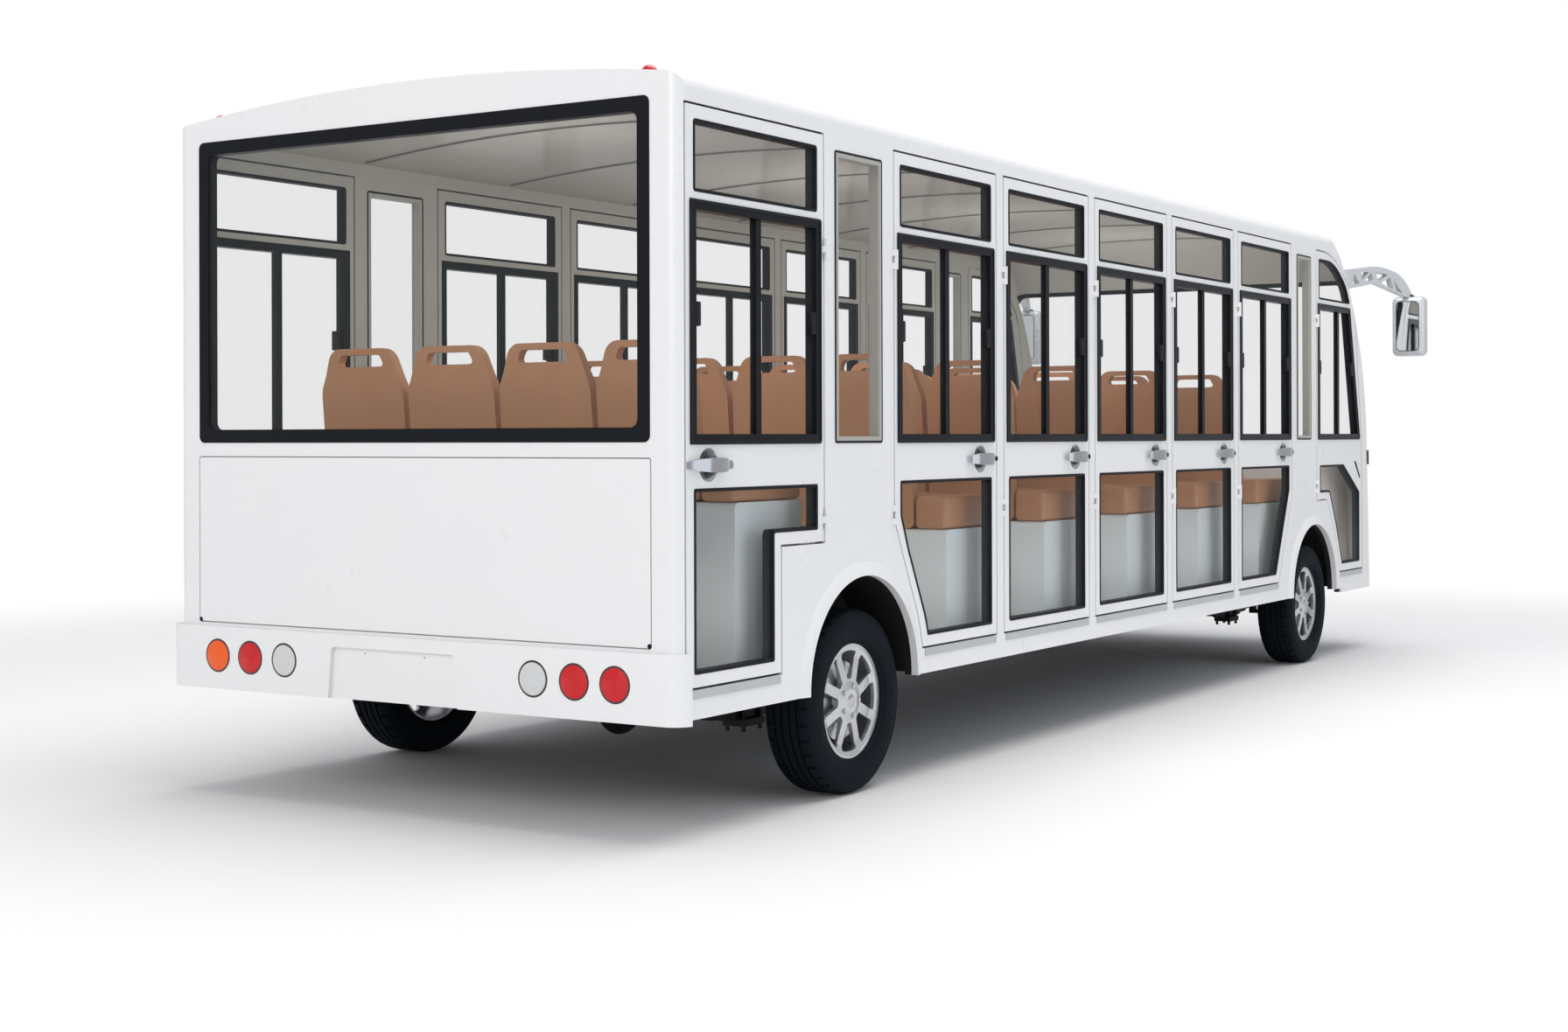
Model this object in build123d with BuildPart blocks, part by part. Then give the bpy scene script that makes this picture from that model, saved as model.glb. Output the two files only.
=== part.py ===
"""Enclosed electric sightseeing bus with 23 seats and fourteen swing doors.

Millimetres, Z up, floor at z = 0, front towards -Y, left-hand side towards +X.
Lengths along the bus are measured forward from its rear face, heights from the floor.
"""

import os
from math import asin, cos, degrees, hypot, radians, sin, tan

from build123d import *

os.makedirs("parts", exist_ok=True)

# Whole body
body_width = 2070
wall = 38
skirt_height = 363
nose_skirt_height = 340
sill_height = 449
door_foot = 456
door_head = 2152
eaves_height = 2240
crown_height = 2305
eaves_round = 45
rear_corner_round = 40
front_corner_round = 100
form_base = 280
door_gap = 7
seat_clearance = 0.3
half_width = body_width / 2

# Front form: windscreen bow, roof bow and nose
windscreen_foot = (6785, 1163)
windscreen_bow = 1493
front_rake = 3.13
brow_height = 2150

# Axles and wheels
rear_axle = 1070
wheelbase = 4706
front_axle = rear_axle + wheelbase
tyre_radius = 307.5
tyre_width = 185
tyre_inset = 30
wheel_plane = half_width - tyre_inset - tyre_width / 2
kingpin_inset = 130
kingpin_plane = wheel_plane - kingpin_inset

# Wheel arches
arch_height = 372
rear_arch = (1057, 355)
front_arch = (5752, 352)
flare_width = 46
flare_reach = 14

# Mirrors and bumper set the ends of the bus
bumper_reach = 26
mirror_ahead = 7015
mirror_depth = 96
mirror_front = mirror_ahead + mirror_depth / 2
rear_y = (mirror_front - bumper_reach) / 2

# Doors
door_width = 772
door_pitch = 841
first_door = 1276
door_count = 5
stile = 38
sash_margin = 19
sash_bar = 30
sash_reach = 4
sash_foot = 1164
sash_head = 1878
transom_foot = 1900
transom_head = 2113
pane_foot = 493
pane_head = 1035
pane_thick = 5
glass_depth = 6
slide_depths = (20, 14)
mullion_share = 0.52
mullion_depth = 8
hinge_stand = 9
hinge_radius = 7.5
pin_radius = 3.5
pin_clearance = 0.05
knuckle_height = 22
hinge_leaf = 14
hinge_levels = (920, 1785)
handle_height = 1103
handle_reach = 115
handle_half = 22
handle_tip = 9
handle_stand = 38
handle_thick = 13
key_radius = 13
key_stand = 15
bowl_radius = 50
bowl_depth = 14
bowl_bow = (bowl_radius**2 + bowl_depth**2) / (2 * bowl_depth)


def side_plane(reach):
    """Right-hand side seen from outside: x forward from the rear face, y up, normal outwards."""
    return Plane(origin=(-reach, rear_y, 0), x_dir=(0, -1, 0), z_dir=(-1, 0, 0))


def cross_plane(ahead):
    """Across the bus: x to the left-hand side, y up, normal forwards."""
    return Plane(origin=(0, rear_y - ahead, 0), x_dir=(1, 0, 0), z_dir=(0, -1, 0))


def level_plane(height):
    """Level: x forward from the rear face, y to the left-hand side, normal up."""
    return Plane(origin=(0, rear_y, height), x_dir=(0, -1, 0), z_dir=(0, 0, 1))


def outline(points, rounds=0):
    """Closed outline of straight runs, its corners rounded."""
    with BuildSketch() as shape:
        with BuildLine():
            FilletPolyline(*points, radius=rounds, close=True)
        make_face()
    return shape.sketch


def panel_outline(start, foot, end, head, rounds=0):
    """Upright rectangle from start to end and from foot to head."""
    return outline([(start, foot), (end, foot), (end, head), (start, head)], rounds)


def grown(shape, amount):
    """Outline moved out by amount all round, with its corners kept."""
    with BuildSketch() as larger:
        add(shape)
        offset(amount=amount, kind=Kind.INTERSECTION)
    return larger.sketch


def slab(shape, reach, depth):
    """Side outline made solid, from reach outside the middle of the bus and depth inwards."""
    with BuildPart() as block:
        with BuildSketch(side_plane(reach)):
            add(shape)
        extrude(amount=-depth)
    return block.part


def box_between(low, high):
    """Box between two corners, each forward from the rear face, to the left and up."""
    size = [high[axis] - low[axis] for axis in range(3)]
    middle = [(high[axis] + low[axis]) / 2 for axis in range(3)]
    with BuildPart() as block:
        with Locations((middle[1], rear_y - middle[0], middle[2])):
            Box(size[1], size[0], size[2])
    return block.part


def mirrored(solid):
    """The same piece on the left-hand side."""
    with BuildPart() as twin:
        add(solid)
        mirror(about=Plane.YZ, mode=Mode.REPLACE)
    return twin.part


def save(name, solid):
    """Labels a finished piece and writes it."""
    solid.label = name
    export_step(solid, f"parts/{name}.step")


# Body form

bow_centre = (
    windscreen_foot[0] - windscreen_bow * cos(radians(front_rake)),
    windscreen_foot[1] - windscreen_bow * sin(radians(front_rake)),
)
brow_angle = degrees(asin((brow_height - bow_centre[1]) / windscreen_bow))
brow_ahead = bow_centre[0] + windscreen_bow * cos(radians(brow_angle))
roof_bow = (crown_height - brow_height) / (1 - sin(radians(brow_angle)))
roof_bend = brow_ahead - roof_bow * cos(radians(brow_angle))
nose_ahead = windscreen_foot[0] + (windscreen_foot[1] - form_base) * tan(radians(front_rake))


with BuildSketch() as side_profile:
    with BuildLine():
        Line((0, form_base), (0, crown_height))
        Line((0, crown_height), (roof_bend, crown_height))
        CenterArc((roof_bend, crown_height - roof_bow), roof_bow, brow_angle, 90 - brow_angle)
        CenterArc(bow_centre, windscreen_bow, front_rake, brow_angle - front_rake)
        Line(windscreen_foot, (nose_ahead, form_base))
        Line((nose_ahead, form_base), (0, form_base))
    make_face()


def body_form(inset):
    """Outer form of the body, drawn in by inset all round, its foot below the skirt."""
    with BuildPart() as form:
        with BuildSketch(side_plane(half_width - inset)):
            add(side_profile.sketch)
            if inset != 0:
                offset(amount=-inset, kind=Kind.INTERSECTION)
        extrude(amount=-2 * (half_width - inset))
        rims = form.edges().filter_by(lambda edge: abs(edge.center().X) > half_width - inset - 0.01)
        rims = rims.filter_by(lambda edge: edge.center().Z > form_base + inset + 1)
        rims = rims.filter_by(lambda edge: edge.center().Y < rear_y - inset - 1)
        fillet(rims, radius=front_corner_round - inset)
        with BuildSketch(cross_plane(0)) as section:
            with BuildLine():
                shoulder = eaves_height - inset
                ThreePointArc((-half_width, shoulder), (0, crown_height - inset), (half_width, shoulder))
                Polyline((half_width, shoulder), (half_width, 0), (-half_width, 0), (-half_width, shoulder))
            make_face()
            if inset == 0:
                fillet(section.vertices().sort_by(Axis.Y)[-2:], radius=eaves_round)
        extrude(amount=nose_ahead + body_width, mode=Mode.INTERSECT)
        if inset == 0:
            with BuildSketch(level_plane(0)) as plan:
                Rectangle(nose_ahead + body_width, body_width, align=(Align.MIN, Align.CENTER))
                fillet(plan.vertices().sort_by(Axis.X)[:2], radius=rear_corner_round)
            extrude(amount=crown_height + body_width, mode=Mode.INTERSECT)
    return form.part


outer_form = body_form(0)
inner_form = body_form(wall)
with BuildPart() as shell:
    add(outer_form)
    add(inner_form, mode=Mode.SUBTRACT)
body_shell = shell.part


# Door outlines, all on the right-hand side

door_starts = [first_door + number * door_pitch for number in range(door_count)]
door_ends = [start + door_width for start in door_starts]
last_door_end = door_ends[-1]

rear_door = (35, 807)
rear_step = (548, 851)
front_door_start = 5818
front_step = (5984, 850)
front_door_foot = 6205
front_door_end = 6606
pillar_bends = [(6120, 2151), (6470, 1925), (6598, 1164)]
pillar_rounds = [650, 400, 800]
kick_bend = (1323, 805)
kick_foot = 1475
slant_head = 880
slant_foot = 5210
front_kick_bend = (6093, 715)

rear_door_outline = outline(
    [
        (rear_door[0], door_foot),
        (rear_step[0], door_foot),
        rear_step,
        (rear_door[1], rear_step[1]),
        (rear_door[1], door_head),
        (rear_door[0], door_head),
    ]
)
first_door_outline = outline(
    [
        (door_starts[0], door_head),
        (door_starts[0], 905),
        kick_bend,
        (1446, 560),
        (kick_foot, door_foot),
        (door_ends[0], door_foot),
        (door_ends[0], door_head),
    ],
    [0, 60, 300, 500, 0, 0, 0],
)
last_door_outline = outline(
    [
        (door_starts[-1], door_foot),
        (slant_foot, door_foot),
        (last_door_end, slant_head),
        (last_door_end, door_head),
        (door_starts[-1], door_head),
    ]
)
front_door_outline = outline(
    [
        (front_door_start, door_head),
        (front_door_start, front_step[1]),
        front_step,
        front_kick_bend,
        (6180, 545),
        (front_door_foot, door_foot),
        (front_door_end, door_foot),
        pillar_bends[2],
        pillar_bends[1],
        pillar_bends[0],
    ],
    [0, 0, 30, 300, 500, 0, 0, pillar_rounds[2], pillar_rounds[1], pillar_rounds[0]],
)

# Panes of each door, as outlines: transom, sash and lower pane


def plain_panes(start, end):
    """Transom, sash and lower pane of a door with upright edges."""
    return [
        panel_outline(start + stile, transom_foot, end - stile, transom_head, 12),
        panel_outline(start + sash_margin, sash_foot, end - sash_margin, sash_head, 12),
        panel_outline(start + stile, pane_foot, end - stile, pane_head, 12),
    ]


rear_panes = plain_panes(*rear_door)
rear_panes[2] = outline(
    [
        (rear_door[0] + stile, pane_foot),
        (rear_step[0] - stile, pane_foot),
        (rear_step[0] - stile, rear_step[1] + stile),
        (rear_door[1] - stile, rear_step[1] + stile),
        (rear_door[1] - stile, pane_head),
        (rear_door[0] + stile, pane_head),
    ],
    8,
)
first_panes = plain_panes(door_starts[0], door_ends[0])
first_panes[2] = outline(
    [
        (door_starts[0] + stile, pane_head),
        (door_starts[0] + stile, 915),
        (kick_bend[0] + stile + 4, 795),
        (1488, 555),
        (kick_foot + 32, pane_foot),
        (door_ends[0] - stile, pane_foot),
        (door_ends[0] - stile, pane_head),
    ],
    [8, 50, 260, 450, 6, 8, 8],
)
last_panes = plain_panes(door_starts[-1], last_door_end)
last_panes[2] = outline(
    [
        (door_starts[-1] + stile, pane_foot),
        (slant_foot - 41, pane_foot),
        (last_door_end - stile - 16, slant_head),
        (last_door_end - stile, slant_head + 32),
        (last_door_end - stile, pane_head),
        (door_starts[-1] + stile, pane_head),
    ],
    [8, 8, 30, 20, 8, 8],
)
front_panes = [
    outline(
        [
            (front_door_start + stile, transom_foot),
            (6398, transom_foot),
            (6322, 2000),
            (6120, transom_head),
            (front_door_start + stile, transom_head),
        ],
        [12, 12, 200, 500, 12],
    ),
    outline(
        [
            (front_door_start + sash_margin, sash_foot),
            (6561, sash_foot),
            (6382, sash_head),
            (front_door_start + sash_margin, sash_head),
        ],
        12,
    ),
    outline(
        [
            (5868, 885),
            (6026, 885),
            (6134, 712),
            (6218, 540),
            (6240, 465 + 28),
            (6556, 465 + 28),
            (6556, 876),
            (6273, 1029),
            (5868, 1029),
        ],
        [8, 20, 260, 450, 6, 8, 16, 16, 8],
    ),
]

# Columns: name, outline, panes, start of sash, end of sash, hinged edge, handle centre ahead
door_table = [
    ("rear", rear_door_outline, rear_panes, rear_door[0], rear_door[1], "front", 150),
]
for number in range(door_count):
    shapes = {0: first_door_outline, door_count - 1: last_door_outline}
    panes = {0: first_panes, door_count - 1: last_panes}
    start = door_starts[number]
    end = door_ends[number]
    plain = panel_outline(start, door_foot, end, door_head)
    row = (
        str(number + 1),
        shapes.get(number, plain),
        panes.get(number, plain_panes(start, end)),
        start,
        end,
        "rear",
        end - 130,
    )
    door_table.append(row)
door_table.append(
    ("front", front_door_outline, front_panes, front_door_start, 6580, "rear", None)
)

door_openings = [grown(row[1], door_gap) for row in door_table]


def hinge_line(row):
    """How far ahead a door's hinge axis lies: in the middle of the gap at its hinged edge."""
    return row[4] + door_gap / 2 if row[5] == "front" else row[3] - door_gap / 2


def hinge_knuckle(ahead, foot, height, edge, side):
    """Barrel of a hinge with its leaf, bored for the pin; side is +1 where the leaf runs forward."""
    axis_reach = half_width + hinge_stand
    with BuildPart() as knuckle:
        with BuildSketch(level_plane(foot)):
            with Locations((ahead, -axis_reach)):
                Circle(hinge_radius)
            near = ahead + side * door_gap / 2
            far = near + side * edge
            with BuildLine():
                Polyline(
                    (ahead, -axis_reach - hinge_radius),
                    (ahead + side * hinge_radius, -axis_reach - hinge_radius / 2),
                    (far, -half_width - 2),
                    (far, -half_width),
                    (near, -half_width),
                    (ahead, -axis_reach),
                    close=True,
                )
            make_face()
        extrude(amount=height)
    return knuckle.part


def pull_handle(grip, key_side):
    """Bridge handle over a bowl, lens-shaped as seen from outside, its key barrel at one end."""
    with BuildPart() as bridge:
        with BuildSketch(level_plane(handle_height - handle_half)):
            seat = -half_width - seat_clearance
            with BuildLine():
                Line((grip - handle_reach, seat), (grip - bowl_radius - 8, seat))
                ThreePointArc(
                    (grip - bowl_radius - 8, seat),
                    (grip, seat - handle_stand + handle_thick),
                    (grip + bowl_radius + 8, seat),
                )
                Line((grip + bowl_radius + 8, seat), (grip + handle_reach, seat))
                ThreePointArc(
                    (grip + handle_reach, seat), (grip, seat - handle_stand), (grip - handle_reach, seat)
                )
            make_face()
        extrude(amount=2 * handle_half)
        with BuildSketch(side_plane(half_width + 2 * handle_stand)):
            with BuildLine():
                ThreePointArc(
                    (grip - handle_reach, handle_height - handle_tip),
                    (grip, handle_height - handle_half),
                    (grip + handle_reach, handle_height - handle_tip),
                )
                Line(
                    (grip + handle_reach, handle_height - handle_tip),
                    (grip + handle_reach, handle_height + handle_tip),
                )
                ThreePointArc(
                    (grip + handle_reach, handle_height + handle_tip),
                    (grip, handle_height + handle_half),
                    (grip - handle_reach, handle_height + handle_tip),
                )
                Line(
                    (grip - handle_reach, handle_height + handle_tip),
                    (grip - handle_reach, handle_height - handle_tip),
                )
            make_face()
        extrude(amount=-2 * handle_stand, mode=Mode.INTERSECT)
        key_place = grip + key_side * (handle_reach - key_radius - 4)
        with BuildSketch(side_plane(half_width + seat_clearance)):
            with Locations((key_place, handle_height)):
                Circle(key_radius)
        extrude(amount=key_stand)
    return bridge.part


# Doors
for row in door_table:
    name, shape, panes, start, end, hinged, grip = row
    side = 1 if hinged == "rear" else -1
    hinge = hinge_line(row)
    with BuildPart() as panel:
        with BuildSketch(side_plane(half_width)):
            add(shape)
            for pane in panes:
                add(pane, mode=Mode.SUBTRACT)
        extrude(amount=-wall)
        if grip is not None:
            dish = Plane(
                origin=(-half_width - bowl_bow + bowl_depth, rear_y - grip, handle_height),
                x_dir=(0, 1, 0),
                z_dir=(-1, 0, 0),
            )
            with Locations(dish):
                Sphere(bowl_bow, mode=Mode.SUBTRACT)
        for level in hinge_levels:
            add(hinge_knuckle(hinge, level - knuckle_height / 2, knuckle_height, hinge_leaf, side))
            with Locations((-half_width - hinge_stand, rear_y - hinge, level)):
                Cylinder(pin_radius + pin_clearance, knuckle_height + 2, mode=Mode.SUBTRACT)
    sash = grown(panes[1], -seat_clearance)
    lights = grown(panes[1], -sash_bar)
    mullion = start + (end - start) * mullion_share
    bar = panel_outline(mullion - sash_bar / 2, sash_foot, mullion + sash_bar / 2, sash_head)
    with BuildPart() as fittings:
        with BuildSketch(side_plane(half_width + sash_reach)):
            add(sash)
            add(lights, mode=Mode.SUBTRACT)
        extrude(amount=-wall - sash_reach)
        with BuildSketch(side_plane(half_width - mullion_depth)):
            add(lights)
            add(bar, mode=Mode.INTERSECT)
        extrude(amount=-wall + 2 * mullion_depth)
        if grip is not None:
            add(pull_handle(grip, -side))
        add(panel.part)
    before = panel_outline(start - 10, sash_foot, mullion - sash_bar / 2, sash_head)
    after = panel_outline(mullion + sash_bar / 2, sash_foot, end + door_width, sash_head)
    with BuildPart() as glass:
        for pane in (panes[0], panes[2]):
            add(slab(grown(pane, -seat_clearance), half_width - glass_depth, pane_thick))
        for half_of, depth in ((before, slide_depths[0]), (after, slide_depths[1])):
            with BuildSketch(side_plane(half_width - depth)):
                add(grown(lights, -seat_clearance))
                add(grown(half_of, -seat_clearance), mode=Mode.INTERSECT)
            extrude(amount=-pane_thick)
    save(f"door_right_{name}", fittings.part)
    save(f"door_left_{name}", mirrored(fittings.part))
    save(f"door_right_{name}_glass", glass.part)
    save(f"door_left_{name}_glass", mirrored(glass.part))


def both_sides(solid):
    """A piece and its twin on the left-hand side, as one node."""
    with BuildPart() as pair:
        add(solid)
        mirror(about=Plane.YZ)
    return pair.part


def skin_piece(shape, cuts=()):
    """Piece of the right-hand body side inside an outline, with the door openings left open."""
    with BuildPart() as piece:
        add(slab(shape, half_width + 40, wall + 40))
        add(body_shell, mode=Mode.INTERSECT)
        for opening in door_openings:
            add(slab(opening, half_width + 60, wall + 120), mode=Mode.SUBTRACT)
        for cut in cuts:
            add(slab(cut, half_width + 60, wall + 120), mode=Mode.SUBTRACT)
    return piece.part


narrow_rear = (878, 1190)
narrow_front = (5496, 5723)
narrow_head = 2113


def narrow_window(span):
    """Opening of a narrow fixed window."""
    return panel_outline(span[0], sash_foot, span[1], narrow_head, 12)


def arch_cut(arch):
    """Side outline of a wheel arch, open downwards."""
    with BuildSketch() as cut:
        with Locations((arch[0], arch_height)):
            Circle(arch[1])
        with Locations((arch[0], arch_height)):
            Rectangle(2 * arch[1], arch_height, align=(Align.CENTER, Align.MAX))
    return cut.sketch


def flare(arch):
    """Raised lip round a wheel arch, fading into the side."""
    with BuildPart() as lip:
        with BuildSketch(cross_plane(arch[0])):
            with BuildLine():
                Polyline(
                    (-half_width + 6, arch_height + arch[1]),
                    (-half_width - flare_reach, arch_height + arch[1]),
                )
                ThreePointArc(
                    (-half_width - flare_reach, arch_height + arch[1]),
                    (-half_width - flare_reach * 0.62, arch_height + arch[1] + flare_width * 0.5),
                    (-half_width, arch_height + arch[1] + flare_width),
                )
                Polyline(
                    (-half_width, arch_height + arch[1] + flare_width),
                    (-half_width + 6, arch_height + arch[1] + flare_width),
                    (-half_width + 6, arch_height + arch[1]),
                )
            make_face()
        hub_line = Axis((0, rear_y - arch[0], arch_height), (1, 0, 0))
        revolve(axis=hub_line, revolution_arc=360)
        keep = box_between((arch[0] - 700, -1200, skirt_height), (arch[0] + 700, -900, 1200))
        add(keep, mode=Mode.INTERSECT)
    return lip.part


# Quarter panels round the wheels, each with its narrow window and the posts beside it
quarter_spans = {
    "rear": (rear_step[0] - 60, first_door + 215, rear_arch, narrow_rear),
    "front": (slant_foot - 30, front_door_foot + 20, front_arch, narrow_front),
}
for name, (start, end, arch, window) in quarter_spans.items():
    panel = skin_piece(
        panel_outline(start, skirt_height, end, door_head + door_gap),
        [arch_cut(arch), narrow_window(window)],
    )
    lip = flare(arch)
    with BuildPart() as quarter:
        add(panel)
        add(lip)
        for row in door_table:
            add(slab(grown(row[1], door_gap), half_width + 60, 60), mode=Mode.SUBTRACT)
    biggest = quarter.part.solids().sort_by(SortBy.VOLUME)[-1]
    with BuildPart() as clean_quarter:
        add(biggest)
    save(f"{name}_quarters", both_sides(clean_quarter.part))


def body_skin(outer_inset, inner_inset):
    """Thin layer of the body form between two insets."""
    with BuildPart() as layer:
        add(outer_form if outer_inset == 0 else body_form(outer_inset))
        add(body_form(inner_inset), mode=Mode.SUBTRACT)
    return layer.part


def whole_width(shape, solid, cuts=()):
    """Piece of a solid inside a side outline, over the whole width, with the doors left open."""
    with BuildPart() as half_piece:
        add(slab(shape, half_width + 60, half_width + 60))
        add(solid, mode=Mode.INTERSECT)
        for opening in door_openings:
            add(slab(opening, half_width + 60, wall + 120), mode=Mode.SUBTRACT)
        mirror(about=Plane.YZ)
        for cut in cuts:
            add(cut, mode=Mode.SUBTRACT)
    return half_piece.part


def across(shape, ahead, depth):
    """Outline across the bus made solid, from ahead of the rear face and depth forwards."""
    with BuildPart() as block:
        with BuildSketch(cross_plane(ahead)):
            add(shape)
        extrude(amount=depth)
    return block.part


def centred_outline(half_span, foot, head, rounds):
    """Upright rectangle across the middle of the bus."""
    return panel_outline(-half_span, foot, half_span, head, rounds)


# Skirts under the doors and posts between them

skirt_seams = {
    "rear": (wall, quarter_spans["rear"][0], skirt_height),
    "middle": (quarter_spans["rear"][1], quarter_spans["front"][0], skirt_height),
    "front": (quarter_spans["front"][1], front_door_end + door_gap, nose_skirt_height),
}
with BuildPart() as skirts:
    for start, end, foot in skirt_seams.values():
        add(skin_piece(panel_outline(start, foot, end, sill_height)))

post_spans = [
    (door_ends[number] + door_gap, door_starts[number + 1] - door_gap)
    for number in range(door_count - 1)
]
with BuildPart() as posts:
    for start, end in post_spans:
        foot = sill_height + seat_clearance
        add(skin_piece(panel_outline(start, foot, end, door_head + door_gap)))
    add(skirts.part)
save("skirts_and_posts", both_sides(posts.part))

# Tread strips under the doors
tread_reach = 4
tread_height = 26
tread_spans = [
    (rear_door[0] + 12, rear_step[0] - 8),
    (kick_foot + 12, door_ends[0] - 8),
    (door_starts[1] + 8, door_ends[1] - 8),
    (door_starts[2] + 8, door_ends[2] - 8),
    (door_starts[3] + 8, door_ends[3] - 8),
    (door_starts[4] + 8, slant_foot - 10),
    (front_door_foot + 10, front_door_end - 10),
]
with BuildPart() as treads:
    for start, end in tread_spans:
        foot = sill_height - tread_height
        add(slab(panel_outline(start, foot, end, sill_height - 1), half_width + tread_reach, tread_reach))
save("sill_treads", both_sides(treads.part))

# Roof, with the brow over the windscreen
roof_seam = 2192
brow_seam = 2040
brow_start = front_door_start - door_gap
roof_outline = outline(
    [
        (-60, roof_seam),
        (wall, roof_seam),
        (wall, door_head + door_gap),
        (brow_start, door_head + door_gap),
        (6290, brow_seam),
        (7200, brow_seam),
        (7200, crown_height + 60),
        (-60, crown_height + 60),
    ]
)
roof = whole_width(roof_outline, body_shell)
save("roof", roof)

# Windscreen opening, seal and glass
screen_half = 1000
screen_foot = 1186
screen_head = 2012
screen_round = 70
seal_width = 22
seal_reach = 3
pillar_depth = 62
screen_start = 6250


def screen_block(margin):
    """Windscreen outline as a solid through the front, grown by a margin."""
    shape = centred_outline(
        screen_half + margin, screen_foot - margin, screen_head + margin, screen_round + margin
    )
    with BuildPart() as block:
        add(across(shape, screen_start, front_axle))
        with BuildSketch(side_plane(half_width)):
            with Locations((-pillar_depth, 0)):
                add(side_profile.sketch)
        extrude(amount=-body_width, mode=Mode.SUBTRACT)
    return block.part


front_outline = outline(
    [
        (front_door_end + door_gap, nose_skirt_height),
        (7200, nose_skirt_height),
        (7200, brow_seam),
        (6180, brow_seam),
        (6180, 620),
        (front_door_end + door_gap, 620),
    ]
)
front_mask = whole_width(front_outline, body_shell, [screen_block(seal_width)])
save("front_mask", front_mask)

glass_skin = body_skin(4, 10)
seal_skin = body_skin(-seal_reach, 16)
with BuildPart() as windscreen:
    add(glass_skin)
    add(screen_block(-seat_clearance), mode=Mode.INTERSECT)
with BuildPart() as screen_seal:
    add(seal_skin)
    add(screen_block(seal_width - seat_clearance), mode=Mode.INTERSECT)
    add(screen_block(0), mode=Mode.SUBTRACT)

# Rear end, with its window, its cover and its bumper
window_half = 932
window_foot = 1170
window_head = 2180
window_bar = 44
cover_half = 936
cover_foot = 568
cover_head = 1126
cover_depth = 14
cover_gap = 4
bumper_foot = 351
bumper_head = 558

rear_outline = outline(
    [(-60, skirt_height), (wall, skirt_height), (wall, roof_seam), (-60, roof_seam)]
)
rear_cuts = [
    across(centred_outline(window_half, window_foot, window_head, 22), -20, wall + 40),
    across(centred_outline(cover_half, cover_foot, cover_head, 10), -20, 20 + cover_depth),
]
rear_end = whole_width(rear_outline, body_shell, rear_cuts)
save("rear_end", rear_end)

with BuildPart() as cover:
    shape = centred_outline(
        cover_half - cover_gap, cover_foot + cover_gap, cover_head - cover_gap, 8
    )
    add(across(shape, 0, cover_depth - seat_clearance))

lamp_radius = 56
lamp_height = 462
lamp_places = [516, 671, 821]
lamp_depth = 16
plate_recess_half = 256
plate_recess_middle = 50
plate_recess_head = 517
plate_recess_depth = 16
plate_hole_height = 500
plate_hole_pitch = 248
plate_hole_radius = 3.5
plate_hole_depth = 8

with BuildSketch() as body_plan:
    Rectangle(front_axle, body_width, align=(Align.MIN, Align.CENTER))
    fillet(body_plan.vertices().sort_by(Axis.X)[:2], radius=rear_corner_round)
with BuildSketch() as bumper_plan:
    add(body_plan.sketch)
    offset(amount=bumper_reach)
    add(body_plan.sketch, mode=Mode.SUBTRACT)
    with Locations((rear_door[0] - door_gap, 0)):
        Rectangle(
            2 * front_axle, 2 * body_width, align=(Align.MIN, Align.CENTER), mode=Mode.SUBTRACT
        )
with BuildPart() as bumper:
    with BuildSketch(level_plane(bumper_foot)):
        add(bumper_plan.sketch)
    extrude(amount=bumper_head - bumper_foot)
    for side in (-1, 1):
        for place in lamp_places:
            with BuildSketch(cross_plane(-bumper_reach)):
                with Locations((side * place, lamp_height)):
                    Circle(lamp_radius + seat_clearance)
            extrude(amount=lamp_depth, mode=Mode.SUBTRACT)
    recess = outline(
        [
            (plate_recess_middle - plate_recess_half - 16, bumper_foot - 10),
            (plate_recess_middle + plate_recess_half + 16, bumper_foot - 10),
            (plate_recess_middle + plate_recess_half, plate_recess_head),
            (plate_recess_middle - plate_recess_half, plate_recess_head),
        ],
        [0, 0, 14, 14],
    )
    add(across(recess, -bumper_reach - 1, plate_recess_depth + 1), mode=Mode.SUBTRACT)
    with BuildSketch(cross_plane(plate_recess_depth - bumper_reach)):
        with Locations((plate_recess_middle, plate_hole_height)):
            with GridLocations(plate_hole_pitch, 1, 2, 1):
                Circle(plate_hole_radius)
    extrude(amount=plate_hole_depth, mode=Mode.SUBTRACT)
    add(cover.part)
save("rear_panels", bumper.part)

# Rear lamps in the bumper and marker lamps on the roof edge
lens_rise = 5
marker_reach = 890
marker_radius = 25

lens_bow = (lamp_radius**2 + lens_rise**2) / (2 * lens_rise)
with BuildPart() as lamp:
    Cylinder(lamp_radius, lamp_depth + lens_rise, align=(Align.CENTER, Align.CENTER, Align.MIN))
    with Locations((0, 0, lamp_depth + lens_rise - lens_bow)):
        Sphere(lens_bow, mode=Mode.INTERSECT)
lamp_back = rear_y + bumper_reach - lamp_depth
with BuildPart() as rear_lamps:
    for side in (-1, 1):
        for place in lamp_places:
            with Locations(Plane((side * place, lamp_back, lamp_height), z_dir=(0, 1, 0))):
                add(lamp.part)

with BuildPart() as markers:
    for side in (-1, 1):
        with Locations((side * marker_reach, rear_y - 60, eaves_height + 14)):
            Sphere(marker_radius)
    add(body_form(-seat_clearance), mode=Mode.SUBTRACT)

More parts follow.
